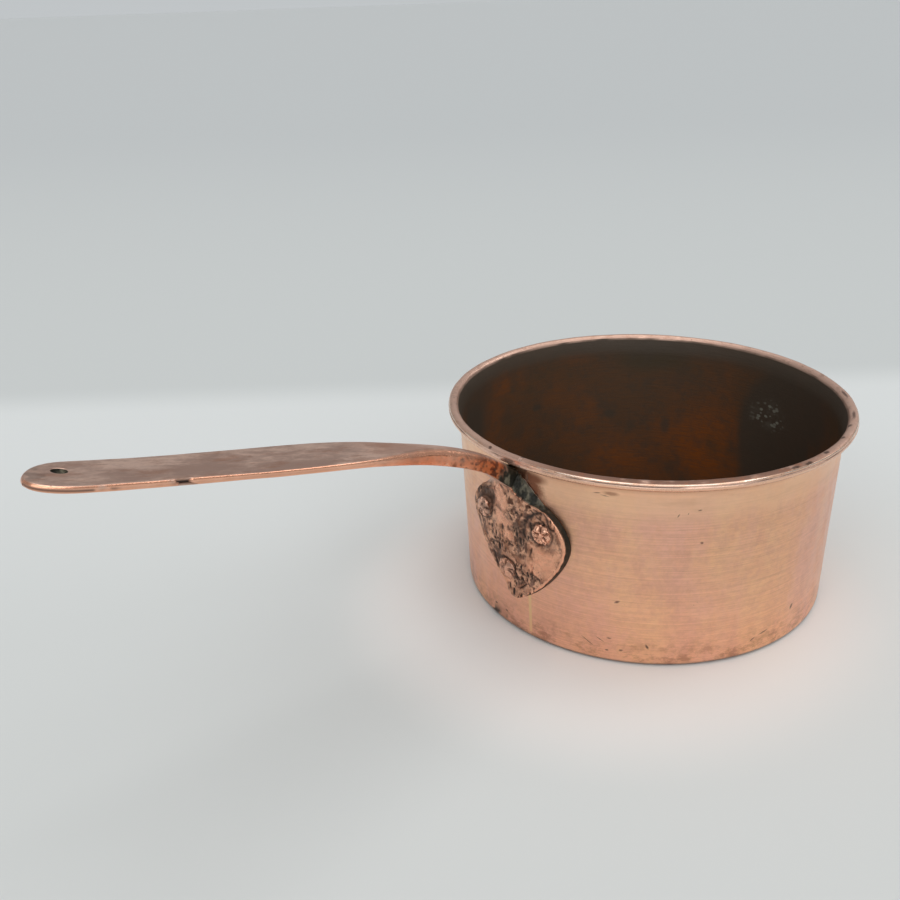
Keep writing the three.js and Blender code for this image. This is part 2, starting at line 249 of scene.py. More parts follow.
class PanHandleSizes(bpy.types.PropertyGroup):
    """Sizes of the forged handle and its rivets"""

    reach: length("Reach", "Reach of the strap from the wall", 216 * MM)
    rise: length("Rise", "Rise of the strap over its root", 69.1 * MM)
    start_angle: angle("Root angle", "Slope of the neck at the rim", 37)
    end_angle: angle("End angle", "Slope of the grip at its end", 15.7)
    start_pull: length("Root pull", "How far the neck keeps its slope", 59.6 * MM)
    end_pull: length("End pull", "How far the grip keeps its slope", 146.8 * MM)
    neck: length("Neck width", "Width of the neck", 9.5 * MM)
    grip: length("Grip width", "Greatest width of the grip", 28.2 * MM)
    tail: length("Tail width", "Width of the grip near its end", 26.2 * MM)
    neck_end: length("Neck end", "Distance from the wall at which the neck starts to widen", 42 * MM)
    grip_start: length("Grip start", "Distance from the wall at which the grip is full", 112 * MM)
    grip_end: length("Grip end", "Distance from the wall at which the grip starts to narrow", 130 * MM)
    tail_start: length("Tail start", "Distance from the wall at which the tail's width is reached", 175 * MM)
    root_thickness: length("Root thickness", "Thickness of the neck at the wall", 9.5 * MM)
    neck_thickness: length("Neck thickness", "Thickness of the neck", 7.7 * MM)
    thickness: length("Grip thickness", "Thickness of the grip", 2.6 * MM)
    end_length: length("End length", "Length of the grip's rounded end", 19 * MM)
    end_drift: length("End drift", "Sideways drift of the grip's tip", 3 * MM)
    hole: length("Hole radius", "Radius of the hanging hole", 2.75 * MM)
    lip: length("Hole lip", "Radius of the hole's worn lips", 0.4 * MM)
    hole_inset: length("Hole inset", "Distance of the hole from the grip's end", 14 * MM)
    hole_across: length("Hole offset", "Distance of the hole from the middle line", 3.3 * MM)
    edge: length("Upper edge", "Radius of the grip's worn upper edges", 0.95 * MM)
    lower_edge: length("Lower edge", "Radius of the lower edges", 0.6 * MM)
    neck_edge: length("Neck edge", "Radius of the neck's upper edges", 3.4 * MM)
    web: length("Web", "Spread of the palm's near side towards the wall", 1.5 * MM)
    palm_slim: length("Palm slimness", "How much the palm's far side falls short below its belly", 4 * MM)
    palm: length("Palm width", "Width of the palm", 61 * MM)
    palm_thickness: length("Palm thickness", "Thickness of the palm", 3.5 * MM)
    palm_shoulder: length("Palm shoulder", "Height at which the palm runs into the neck", 77 * MM)
    palm_widest: length("Palm belly", "Height at which the palm is widest", 60 * MM)
    palm_tip: length("Palm tip", "Height of the palm's tip", 23.5 * MM)
    palm_drift: length("Palm drift", "Sideways drift of the palm's tip", 3 * MM)
    palm_ridge: length("Palm ridge", "Height of the ridge below the neck", 2 * MM)
    shank: length("Rivet shank", "Radius of a rivet's shank", 2.6 * MM)
    rivet_tail: length("Rivet tail", "Radius of a rivet's hammered tail", 5 * MM)
    rivet_tail_height: length("Rivet tail height", "Height of a rivet's hammered tail", 2.4 * MM)
    rivet_head: length("Rivet head", "Radius of a rivet's head inside the pot", 6 * MM)
    rivet_head_height: length("Rivet head height", "Height of a rivet's head", 2 * MM)


class PanColours(bpy.types.PropertyGroup):
    """Colours of the metals and of the studio"""

    copper: colour("Copper", "Rubbed copper of the wall", (0.98, 0.55, 0.335))
    rose: colour("Rose copper", "Pinker clouds in the wall", (0.95, 0.525, 0.385))
    tan: colour("Tan", "Golden clouds in the wall", (0.99, 0.59, 0.35))
    # Painted light: the wall's colour is made brighter towards its top
    painted_top_light: colour("Peach", "Brighter copper below the rim", (1.0, 0.63, 0.4))
    bruise: colour("Dull clouds", "Duller, browner clouds in the wall", (0.77, 0.41, 0.3))
    rim_copper: colour("Rim copper", "Dulled copper of the rolled rim", (0.97, 0.65, 0.52))
    # Painted shade: the dark colour of the rim's top, standing in for the darker light that it reflects
    painted_rim_top_shade: colour("Tarnish", "Tarnished top of the rim", (0.22, 0.12, 0.085))
    # Painted highlight: a pale colour laid on the polished line round the rim
    painted_rim_highlight: colour("Shine", "Polished line round the rim", (1.0, 0.84, 0.73))
    stain: colour("Stain", "Brown stains of the wall", (0.28, 0.12, 0.07))
    brown: colour("Inside brown", "Browned inside of the pot", (0.1, 0.05, 0.025))
    russet: colour("Inside russet", "Reddish clouds inside the pot", (0.24, 0.066, 0.01))
    olive: colour("Inside olive", "Greenish clouds inside the pot", (0.06, 0.047, 0.028))
    soot: colour("Soot", "Dark deposits", (0.062, 0.047, 0.034))
    scale: colour("Scale", "Grey specks inside the pot", (0.27, 0.27, 0.22))
    forged: colour("Forged copper", "Dull copper of the handle", (0.95, 0.68, 0.55))
    forged_dark: colour("Forged brown", "Brown streaks of the handle", (0.54, 0.34, 0.265))
    palm: colour("Palm copper", "Copper of the pitted palm", (0.53, 0.255, 0.155))
    palm_light: colour("Light palm copper", "Rubbed specks of the palm", (0.9, 0.51, 0.335))
    palm_dark: colour("Dark palm copper", "Dark specks of the palm", (0.13, 0.06, 0.04))
    # Also the colour of the painted highlight lines along the strap's edges
    bright: colour("Bright copper", "Worn edges and hammered rivets", (1.0, 0.5, 0.32))
    orange: colour("Orange copper", "Heated copper of the neck's sides", (0.62, 0.205, 0.085))
    scorch: colour("Scorch", "Dark red scale of the neck's sides", (0.2, 0.06, 0.03))
    pit: colour("Pit", "Dark pits and cracks", (0.035, 0.018, 0.012))
    crust: colour("Crust", "Dark green crust in corners", (0.17, 0.15, 0.105))
    crust_dark: colour("Dark crust", "Blackest parts of the crust", (0.015, 0.014, 0.009))
    braze: colour("Braze", "Yellow brass of the seams", (0.85, 0.6, 0.33))
    iron: colour("Iron", "Wire inside the rim", (0.06, 0.05, 0.045))
    floor: colour("Floor", "Table top", (0.655, 0.675, 0.665))
    # Painted light: the floor is coloured brighter round the pot, standing in for light that the copper
    # throws on it
    pool: colour("Floor by the pot", "Table top that the copper warms", (0.8, 0.785, 0.765))
    back_floor: colour("Back of the floor", "Table top just behind the pot", (0.71, 0.735, 0.73))
    backdrop: colour("Backdrop", "Table top behind the junction", (0.6, 0.625, 0.62))
    far_backdrop: colour("Far backdrop", "Table top far behind the pot", (0.545, 0.57, 0.575))
    haze: colour("Haze", "Room behind everything", (0.53, 0.555, 0.57))
    room: colour("Room", "Room that the metal mirrors", (0.3, 0.305, 0.31))


# Number fields


def cell_random(cells, seed):
    """A number from 0 to 1 for each whole-numbered cell, from a mix of its three indices and the seed."""
    x, y, z = (cells[..., i].astype(np.int64) for i in range(3))
    blend = (x * INDEX_PRIMES[0] + y * INDEX_PRIMES[1] + z * INDEX_PRIMES[2] + seed * SEED_FACTOR) & ALL_BITS
    blend = ((blend ^ (blend >> 13)) * BLEND_FACTOR) & ALL_BITS
    return ((blend ^ (blend >> 16)) & HALF_BITS) / HALF_BITS


def corner_steps(low, high):
    """Every whole-numbered step from low to high along the three axes."""
    span = np.arange(low, high + 1)
    return np.stack(np.meshgrid(span, span, span, indexing="ij"), -1).reshape(-1, 3)


def clouds(points, cell, seed, octaves=3):
    """Soft noise from -1 to 1: cell corners hold random numbers, joined smoothly, in halving octaves."""
    total = np.zeros(points.shape[:-1])
    weight, weights = 1.0, 0.0
    for octave in range(octaves):
        place = points / (cell / 2**octave)
        base = np.floor(place)
        share = place - base
        share = share * share * (3 - 2 * share)
        for step in corner_steps(0, 1):
            part = np.where(step == 1, share, 1 - share).prod(-1)
            total += weight * part * (2 * cell_random(base + step, seed + octave) - 1)
        weights += weight
        weight /= 2
    return total / weights * CLOUD_GAIN


def pocks(points, cell, chance, seed):
    """Round hollows from 0 to 1: a share of the cells has one, at a random place and of a random size."""
    place = points / cell
    base = np.floor(place)
    deepest = np.zeros(points.shape[:-1])
    for step in corner_steps(-1, 1):
        near = base + step
        centre = near + np.stack([cell_random(near, seed + i) for i in range(3)], -1)
        radius = 0.2 + 0.42 * cell_random(near, seed + 3)
        away = np.linalg.norm(place - centre, axis=-1) / radius
        held = cell_random(near, seed + 4) < chance
        deepest = np.maximum(deepest, np.where(held, np.clip(1 - away**2, 0, 1), 0))
    return deepest


def smooth(value, low, high):
    """A smooth step from 0 at low to 1 at high."""
    share = np.clip((value - low) / (high - low), 0, 1)
    return share * share * (3 - 2 * share)


def band(value, middle, width):
    """A soft band from 1 at its middle to nothing past its width: a bell curve of the distance."""
    return np.exp(-(((value - middle) / width) ** 2))


def most_of(*masks):
    """The greatest of several masks at each point."""
    return np.maximum.reduce(masks)


def blot(points, centre, radius, ragged=0.35, seed=5):
    """A ragged round mark from 1 at its centre to 0 at its radius."""
    away = np.linalg.norm(points - np.asarray(centre), axis=-1) / radius
    away = away + ragged * clouds(points, 0.6 * radius, seed, 2)
    return 1 - smooth(away, 0.45, 1)


# Meshes


def grid_quads(rows, columns, first=0):
    """Vertex numbers of the four corners of each cell of a rows by columns grid."""
    index = first + np.arange(rows * columns).reshape(rows, columns)
    corners = [index[:-1, :-1], index[:-1, 1:], index[1:, 1:], index[1:, :-1]]
    return np.stack([c.ravel() for c in corners], -1)


class Shape:
    """Grids of points that are welded into one closed mesh.

    Each point may carry further numbers after its place, which become the shape's marks.
    """

    def __init__(self):
        self.points, self.quads, self.count = [], [], 0

    def grid(self, points, outward=True, keep=None):
        """Adds a grid of cells, all or those to keep, that faces outwards as it stands or turned over."""
        rows, columns = points.shape[:2]
        quads = grid_quads(rows, columns, self.count)
        if keep is not None:
            quads = quads[keep.ravel()]
        self.quads.append(quads if outward else quads[:, ::-1])
        self.points.append(points.reshape(rows * columns, -1))
        self.count += rows * columns
        return self

    def weld(self):
        """Points closer than a micrometre become one, and cells that keep three corners stay as triangles."""
        points = np.concatenate(self.points)
        cells = np.floor(points[:, :3] / WELD + WELD_SHIFT).astype(np.int64)
        first, inverse = np.unique(cells, axis=0, return_index=True, return_inverse=True)[1:]
        self.at = points[first, :3]
        self.marks = points[first, 3:].T
        quads = inverse.reshape(-1)[np.concatenate(self.quads)]
        same = quads == np.roll(quads, -1, axis=1)
        self.faces = quads[same.sum(1) == 0]
        thin = quads[same.sum(1) == 1]
        rolled = np.argmax(same[same.sum(1) == 1], axis=1)
        order = (rolled[:, None] + 1 + np.arange(3)) % 4
        self.triangles = np.take_along_axis(thin, order, axis=1)
        return self

    def normals(self):
        """Unit normals at the points: the sum of the areas of the faces round each."""
        total = np.zeros_like(self.at)
        for faces in (self.faces, self.triangles):
            ends = self.at[faces]
            across = np.cross(ends[:, 2] - ends[:, 0], ends[:, -1] - ends[:, 1])
            for corner in range(faces.shape[1]):
                np.add.at(total, faces[:, corner], across)
        return total / np.maximum(np.linalg.norm(total, axis=1, keepdims=True), 1e-12)

    def push(self, amount):
        """Moves each point along its normal."""
        self.at = self.at + self.normals() * amount[:, None]
        return self

    def build(self, name, material, replaced, slot, masks=None):
        """Puts the welded mesh into Blender as a piece that rides on the pan's body."""
        mesh = bpy.data.meshes.new(name)
        faces = self.faces.tolist() + self.triangles.tolist()
        mesh.from_pydata(self.at.tolist(), [], faces)
        mesh.shade_smooth()
        mesh.set_sharp_from_angle(angle=SHARP)
        for key, values in (masks or {}).items():
            layer = mesh.attributes.new(key, "FLOAT", "POINT")
            layer.data.foreach_set("value", np.asarray(values, np.float32))
        mesh.materials.append(material)
        piece = bpy.data.objects.new(name, mesh)
        bpy.context.scene.collection.objects.link(piece)
        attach(piece, BODY)
        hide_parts(replaced)


# The pot's body


def cubic(ends, count):
    """Points on the cubic curve whose four control points pull with the weights of the binomial law."""
    t = np.linspace(0, 1, count)[:, None]
    a, b, c, d = (np.asarray(p, float) for p in ends)
    return (1 - t) ** 3 * a + 3 * (1 - t) ** 2 * t * b + 3 * (1 - t) * t**2 * c + t**3 * d


def bead_of(size):
    """Radius and middle of the rolled bead, which holds the wire, a gap and the sheet."""
    bead = size.wire + size.fit + size.sheet
    return bead, np.array([size.rim - bead, size.height - bead])


def flare_foot(size):
    """Height at which the wall starts to flare."""
    return bead_of(size)[1][1] - size.flare


def wall_slope(size):
    """How much the wall's radius grows with its height."""
    return (size.wall_top - size.foot) / flare_foot(size)


def flare_line(size, count):
    """Middle line of the flare: a cubic curve from the tapered wall to the start of the roll."""
    bead, middle = bead_of(size)
    half = size.sheet / 2
    taper = math.atan(wall_slope(size))
    start = np.array([size.wall_top - half / math.cos(taper), flare_foot(size)])
    turn = math.pi - size.flare_lean
    meet = middle + (bead - half) * np.array([math.cos(turn), math.sin(turn)])
    pull = size.flare / 3
    up = np.array([math.sin(taper), math.cos(taper)])
    out = np.array([math.sin(size.flare_lean), math.cos(size.flare_lean)])
    return cubic((start, start + pull * up, meet - pull * out, meet), count)


def sheet_line(size):
    """Middle line of the sheet as (radius, height): foot bend, tapered wall, flare and roll over the wire."""
    bead, middle = bead_of(size)
    half = size.sheet / 2
    slope = wall_slope(size)
    taper = math.atan(slope)
    corner_x = size.foot + size.corner * slope - size.corner / math.cos(taper)
    turn = np.linspace(-math.pi / 2, -taper, CORNER_ROWS)[:, None]
    bend = np.hstack([np.cos(turn), np.sin(turn)])
    corner = np.array([corner_x, size.corner]) + (size.corner - half) * bend
    flare = flare_line(size, FLARE_ROWS)
    first = (size.seam_foot + WELD - corner[-1, 1]) / (flare_foot(size) - corner[-1, 1])
    rise = np.linspace(first, 1, WALL_ROWS)[:-1, None]
    wall = corner[-1] * (1 - rise) + flare[0] * rise
    ends = math.pi - size.flare_lean, -math.acos(-size.wire / bead)
    turn = np.linspace(*ends, ROLL_ROWS)[1:, None]
    roll = middle + (bead - half) * np.hstack([np.cos(turn), np.sin(turn)])
    return np.vstack([corner, wall, flare, roll])


def line_sides(line):
    """Unit vectors to the right of a line of points, from the chords on either side of each."""
    along = np.gradient(line, axis=0)
    along /= np.linalg.norm(along, axis=1, keepdims=True)
    return np.stack([along[:, 1], -along[:, 0]], 1)


def sheet_faces(size, proud=0.0):
    """Outer line, rounded free edge and inner line of the sheet, in order, as (radius, height)."""
    line = sheet_line(size)
    right = line_sides(line)
    half = size.sheet / 2 + proud
    turn = np.linspace(0, math.pi, 6)[1:-1, None]
    ahead = np.array([-right[-1, 1], right[-1, 0]])
    edge = line[-1] + half * (np.cos(turn) * right[-1] + np.sin(turn) * ahead)
    return np.vstack([line + half * right, edge, (line - half * right)[::-1]])


def outer_radius(size, height):
    """Radius of the wall's outer face at a height, flare included."""
    flare = flare_line(size, FLARE_SAMPLES)
    flare = flare + size.sheet / 2 * line_sides(flare)
    straight = size.foot + height * wall_slope(size)
    flared = np.interp(height, flare[:, 1], flare[:, 0])
    return np.where(height < flare[0, 1], straight, flared)


def bead_turn(points, size):
    """Angle of each point round the bead's middle, from nothing outwards to a quarter turn at the top."""
    middle = bead_of(size)[1]
    return np.arctan2(points[..., 2] - middle[1], np.hypot(points[..., 0], points[..., 1]) - middle[0])


def hand_raised(points, size):
    """Hollows that the hammer left: the wall and rim move in a little, by soft noise, and the base stays."""
    radius = np.hypot(points[..., 0], points[..., 1])
    round_pot = points.copy()
    round_pot[..., 2] *= 0.6
    hollow = 0.5 - 0.5 * clouds(round_pot, 48 * MM, 11, 2)
    ripple = 0.5 - 0.5 * clouds(points, 9 * MM, 23, 2)
    bead = smooth(points[..., 2], size.height - 9 * MM, size.height - 4 * MM)
    worked = 0.6 + 0.4 * clouds(points, 15 * MM, 37, 2)
    groove = band(bead_turn(points, size), math.radians(12), math.radians(9)) * worked * (bead > 0)
    rise = smooth(points[..., 2], 4 * MM, 30 * MM) * smooth(radius, 0.5 * size.foot, 0.9 * size.foot)
    inward = size.unevenness * (rise * hollow * 0.8 + bead * (0.7 * ripple + 1.3 * groove))
    scale = 1 - inward / np.maximum(radius, 1e-6)
    moved = points.copy()
    moved[..., 0] *= scale
    moved[..., 1] *= scale
    sag = 0.5 + 0.3 * clouds(points, 20 * MM, 31, 2) + 0.3 * clouds(points, 5 * MM, 33, 2)
    moved[..., 2] -= 0.5 * size.unevenness * bead * np.clip(sag, 0, 1.3)
    return moved


def cramp_outline(size, offset):
    """Corners of the dovetail zigzag, moved outwards by an offset, as a closed line of (x, y)."""
    corner = np.array(
        [
            (size.cramp_root, -size.cramp_root_width / 2),
            (size.cramp_tip, -size.cramp_tip_width / 2),
            (size.cramp_tip, size.cramp_tip_width / 2),
            (size.cramp_root, size.cramp_root_width / 2),
        ]
    )
    turn = np.arange(CRAMPS)[:, None] * TURN / CRAMPS
    x = corner[:, 0] * np.cos(turn) - corner[:, 1] * np.sin(turn)
    y = corner[:, 0] * np.sin(turn) + corner[:, 1] * np.cos(turn)
    line = np.stack([x.ravel(), y.ravel()], -1)
    along = np.roll(line, -1, axis=0) - line
    along /= np.linalg.norm(along, axis=1, keepdims=True)
    right = np.stack([along[:, 1], -along[:, 0]], -1)
    before = np.roll(right, 1, axis=0)
    reach = offset / (1 + (right * before).sum(1))
    return line + reach[:, None] * (right + before)


def cramp_columns(size, offset, root, tip):
    """The zigzag sampled into columns, and the azimuth that each column runs towards."""
    line = cramp_outline(size, offset)
    line = np.vstack([line, line[:1]])
    steps = np.array(CRAMP_STEPS * CRAMPS)
    knots = np.concatenate([[0], np.cumsum(steps)])
    keys = np.radians(np.array([-root, -tip, tip, root]))
    azimuth = (np.arange(CRAMPS)[:, None] * TURN / CRAMPS + keys).ravel()
    azimuth = np.append(azimuth, azimuth[0] + TURN)
    at = np.arange(knots[-1] + 1)
    edge = np.stack([np.interp(at, knots, line[:, i]) for i in range(2)], -1)
    return edge, np.interp(at, knots, azimuth)


def around(profile, azimuth):
    """Each (radius, height) of a profile carried round the Z axis through the azimuths."""
    radius, height = profile[:, :1], profile[:, 1:]
    return np.stack([radius * np.cos(azimuth), radius * np.sin(azimuth), height + 0 * azimuth], -1)


def fan(edge, height, ring, azimuth, shares):
    """Rows from a zigzag edge straight to a circle of radius ring, by shares of the way, at a height."""
    circle = ring * np.stack([np.cos(azimuth), np.sin(azimuth)], -1)
    rows = edge[None] * (1 - shares[:, None, None]) + circle[None] * shares[:, None, None]
    return np.concatenate([rows, np.full(rows.shape[:2] + (1,), height)], -1)


def seam_azimuth(size):
    """Azimuth of the seam's middle, from its distance round the wall from the handle."""
    return math.pi + size.seam_across / size.wall_top


def opened_at_seam(size, azimuth, height, column):
    """Moves two columns to the sides of the seam above its foot, and their neighbours along a little."""
    half = (size.seam / 2 + 0.02 * MM) / size.wall_top
    count = np.arange(azimuth.shape[1])
    before = seam_azimuth(size) - half - azimuth[:, column, None]
    after = seam_azimuth(size) + half - azimuth[:, column + 1, None]
    left = np.clip(1 - (column - count) / SEAM_ROOM, 0, 1) * (count <= column)
    right = np.clip(1 - (count - column - 1) / SEAM_ROOM, 0, 1) * (count > column)
    share = smooth(height, 1 * MM, size.seam_foot - 0.5 * MM)[:, None]
    return azimuth + share * (before * left + after * right)


def pot_wall_shape(size):
    """The sheet's profile turned round the Z axis, with a slot at the seam and a zigzag edge at the foot."""
    profile = sheet_faces(size)
    edge, azimuth = cramp_columns(size, size.braze / 2 + 0.05 * MM, *OUTER_FAN)
    even = np.linspace(azimuth[0], azimuth[0] + TURN, len(azimuth))
    rise = smooth(profile[:, 1], 3 * MM, 14 * MM)[:, None]
    turned = azimuth * (1 - rise) + even * rise
    column = np.searchsorted(even, seam_azimuth(size)) - 1
    turned = opened_at_seam(size, turned, profile[:, 1], column)
    wall = around(profile, turned)
    shares = np.linspace(0, 1, FOOT_ROWS + 1)[:-1]
    below = fan(edge, 0.0, profile[0, 0], azimuth, shares)
    above = fan(edge, size.sheet, profile[-1, 0], azimuth, shares[::-1])
    closed = hand_raised(np.concatenate([below, wall, above, below[:1]]), size)
    first = FOOT_ROWS + np.argmax(profile[:, 1] > size.seam_foot - 0.1 * MM)
    last = 2 * FOOT_ROWS + len(profile) - 1 - first
    keep = np.ones((closed.shape[0] - 1, closed.shape[1] - 1), bool)
    keep[first:last, column] = False
    shape = Shape().grid(closed, keep=keep)
    slot = closed[first : last + 1, column : column + 2]
    return strip_sides(shape, slot, True).weld()


def strip_sides(shape, strip, outward):
    """Closes a strip that runs up the outer face and down the inner one: its two sides and its foot."""
    pairs = len(strip) // 2
    for column, faced in ((0, outward), (-1, not outward)):
        shape.grid(np.stack([strip[:pairs, column], strip[::-1, column][:pairs]], 1), outward=faced)
    return shape.grid(np.stack([strip[0], strip[-1]]), outward=outward)


def seam_shape(size):
    """A strip of the sheet's own profile over the seam's width, a hair proud of both faces and crowned."""
    profile = sheet_faces(size, 0.01 * MM)
    first = np.argmax(profile[:, 1] > size.seam_foot - 0.1 * MM)
    profile = profile[first : len(profile) - first]
    across = np.linspace(-0.5, 0.5, 5)
    azimuth = seam_azimuth(size) + across * size.seam / size.wall_top + 0 * profile[:, :1]
    side = np.where(np.arange(len(profile)) < len(profile) / 2, 1, -1)[:, None]
    crown = 0.02 * MM * (1 - (2 * across) ** 2) * side
    strip = around(profile, azimuth)
    away = np.stack([np.cos(azimuth), np.sin(azimuth), 0 * azimuth], -1)
    strip = hand_raised(strip + crown[..., None] * away, size)
    return strip_sides(Shape().grid(strip), strip, False).weld()


def base_shape(size):
    """A disc from its middle to the dovetail zigzag, above and below, joined by the zigzag's edge."""
    edge, azimuth = cramp_columns(size, -size.braze / 2 - 0.05 * MM, *INNER_FAN)
    ring = size.cramp_root - 6 * MM
    shares = np.linspace(0, 1, FOOT_ROWS + 1)
    disc = np.linspace(1, 0, DISC_ROWS)[1:]
    rows = []
    for height, order in ((size.sheet, -1), (0.0, 1)):
        rim = fan(edge, height, ring, azimuth, shares)
        inner = around(np.stack([ring * disc, np.full(len(disc), height)], -1), azimuth)
        rows.append(np.concatenate([rim, inner])[::order])
    top, bottom = rows
    away = np.hypot(top[..., 0], top[..., 1])
    sunk = 0.25 * MM * clouds(top * (1, 1, 0), 34 * MM, 41, 2) * (1 - smooth(away, 60 * MM, 78 * MM))
    top = top - np.stack([0 * sunk, 0 * sunk, np.abs(sunk)], -1)
    return Shape().grid(np.concatenate([top, bottom]), outward=False).weld()


def base_braze_shape(size):
    """The zigzag line between base and foot, with a low crowned top."""
    outer = cramp_columns(size, size.braze / 2, *OUTER_FAN)[0]
    inner = cramp_columns(size, -size.braze / 2, *OUTER_FAN)[0]
    foot, crown = 0.15 * MM, size.sheet + 0.1 * MM
    section = ((0, foot), (0, size.sheet), (0.3, crown), (0.7, crown), (1, size.sheet), (1, foot), (0, foot))
    rows = []
    for share, height in section:
        line = outer * share + inner * (1 - share)
        rows.append(np.concatenate([line, np.full((len(line), 1), height)], -1))
    return Shape().grid(np.stack(rows), outward=False).weld()


def wire_shape(size):
    """A wire bent into a ring inside the rim, whose ends meet at a small gap."""
    middle = bead_of(size)[1]
    gap = size.fit / 2 / middle[0]
    azimuth = np.linspace(gap, TURN - gap, WIRE_ROWS)
    azimuth = np.concatenate([azimuth[:1], azimuth, azimuth[-1:]])[:, None]
    thick = np.concatenate([[0], np.full(WIRE_ROWS, size.wire), [0]])
    turn = np.linspace(0, TURN, WIRE_COLUMNS)
    radius = middle[0] + np.outer(thick, np.cos(turn))
    height = middle[1] + np.outer(thick, np.sin(turn))
    ring = np.stack([radius * np.cos(azimuth), radius * np.sin(azimuth), height], -1)
    return Shape().grid(hand_raised(ring, size), outward=False).weld()


def rim_wear_and_light(at, size, outside):
    """The rim's painted shade along its groove and under its bead, its polished lines with a painted
    highlight, and its crown darkened as painted shade, by the angle round its bead.
    """
    bead, middle = bead_of(size)
    turn = bead_turn(at, size)
    azimuth = np.arctan2(at[:, 1], at[:, 0])
    # Painted shade: a dark line along the bead's groove, and a darker band under the bead where it meets the
    # wall
    crease_shade = band(turn, math.radians(12), math.radians(8)) * smooth(clouds(at, 13 * MM, 55, 2), -0.5, 0.3)
    crease_shade = most_of(crease_shade, 0.7 * band(turn, math.radians(-62), math.radians(12)) * outside)
    # The polished band and the lower bead below the groove also carry a painted highlight
    polish_and_highlight = band(turn, math.radians(37), math.radians(16)) * smooth(clouds(at, 9 * MM, 57, 3), -0.9, 0.0)
    lower = smooth(turn, math.radians(4), math.radians(-8)) * (at[:, 2] > middle[1] - bead) * outside
    from_neck = math.pi - np.abs(azimuth)
    polish_and_highlight = most_of(polish_and_highlight, 0.8 * lower) * smooth(from_neck, math.radians(5), math.radians(12))
    # Painted shade on the rim's crown, darkest on the side that faces the front
    facing = np.cos(azimuth + math.radians(132))
    facing = np.where(facing > 0, np.clip(1.3 * facing**2, 0, 1), 0.5 * facing**2)
    crown = smooth(turn, math.radians(42), math.radians(52)) * facing
    crown = crown * smooth(clouds(at, 4 * MM, 59, 3), -1.6, -0.2)
    return {"crease_shade": crease_shade, "polish_and_highlight": polish_and_highlight, "crown": crown}


def wall_wear(shape, size):
    """The wall's inside, its stains and crust at the foot, and its rim's wear."""
    at = shape.at
    inside = inside_of(shape, size)
    near_foot = smooth(clouds(at, 2.2 * MM, 53, 3), 0.1, 0.5) * smooth(at[:, 2], 7 * MM, 3 * MM)
    crust = blot(at, (-93.6 * MM, 17.0 * MM, 2.6 * MM), 3.6 * MM, 0.6)
    crust = most_of(crust, near_foot * blot(at, (-94.5 * MM, 5 * MM, 1.5 * MM), 11 * MM))
    stain = 0.4 * blot(at, (-94.5 * MM, 12 * MM, 4 * MM), 9 * MM)
    return {"inside": inside, "stain": stain, "crust": crust, **rim_wear_and_light(at, size, inside < 0.5)}


def inside_of(shape, size):
    """1 on the faces that look into the pot, up to a ragged line on the rim, and 0 on the others."""
    at, normal = shape.at, shape.normals()
    radius = np.hypot(at[:, 0], at[:, 1])
    bead, middle = bead_of(size)
    inner = (normal[:, 0] * at[:, 0] + normal[:, 1] * at[:, 1]) < -0.05 * radius
    floor = (radius < size.foot - 2 * MM) & (at[:, 2] > 0.5 * size.sheet)
    edge = middle[1] + 0.3 * bead + 0.12 * MM * clouds(at, 9 * MM, 51, 2)
    return np.where(inner | floor, 1 - smooth(at[:, 2], edge - 0.2 * MM, edge + 0.2 * MM), 0)


# The handle


def spine_of(size, body):
    """Line of the strap's top face as (distance from the axis, height), its tangents, and its lengths."""
    bead, middle = bead_of(body)
    reach = middle[0] - body.wall_top
    drop = (bead + body.fit) / math.cos(size.start_angle) + reach * math.tan(size.start_angle)
    root = np.array([body.wall_top, middle[1] - drop])
    tip = root + (size.reach, size.rise)
    leave = np.array([math.cos(size.start_angle), math.sin(size.start_angle)])
    arrive = np.array([math.cos(size.end_angle), math.sin(size.end_angle)])
    ends = root, root + size.start_pull * leave, tip - size.end_pull * arrive, tip
    line = cubic(ends, SPINE_SAMPLES)
    along = np.gradient(line, axis=0)
    along /= np.linalg.norm(along, axis=1, keepdims=True)
    distance = np.concatenate([[0], np.cumsum(np.linalg.norm(np.diff(line, axis=0), axis=1))])
    return line, along, distance


def on_strap(spine, distance, across, sunk):
    """Points at distances along the strap, across from its middle line and down from its top face."""
    line, along, knots = spine
    out = np.interp(distance, knots, line[:, 0]) + sunk * np.interp(distance, knots, along[:, 1])
    up = np.interp(distance, knots, line[:, 1]) - sunk * np.interp(distance, knots, along[:, 0])
    return np.stack([-out, -across + 0 * out, up], -1)


def between(low, high, share):
    """The value that lies a share of the way from low to high."""
    return low + (high - low) * share


def strap_sizes(size, distance):
    """Half width and thickness of the strap at distances from its root, without its rounded end."""
    opened = smooth(distance, size.neck_end, size.grip_start)
    flared = between(size.neck, size.grip, opened)
    width = between(flared, size.tail, smooth(distance, size.grip_end, size.tail_start))
    neck = between(size.root_thickness, size.neck_thickness, smooth(distance, 0, size.neck_end / 2))
    return width / 2, between(neck, size.thickness, opened)


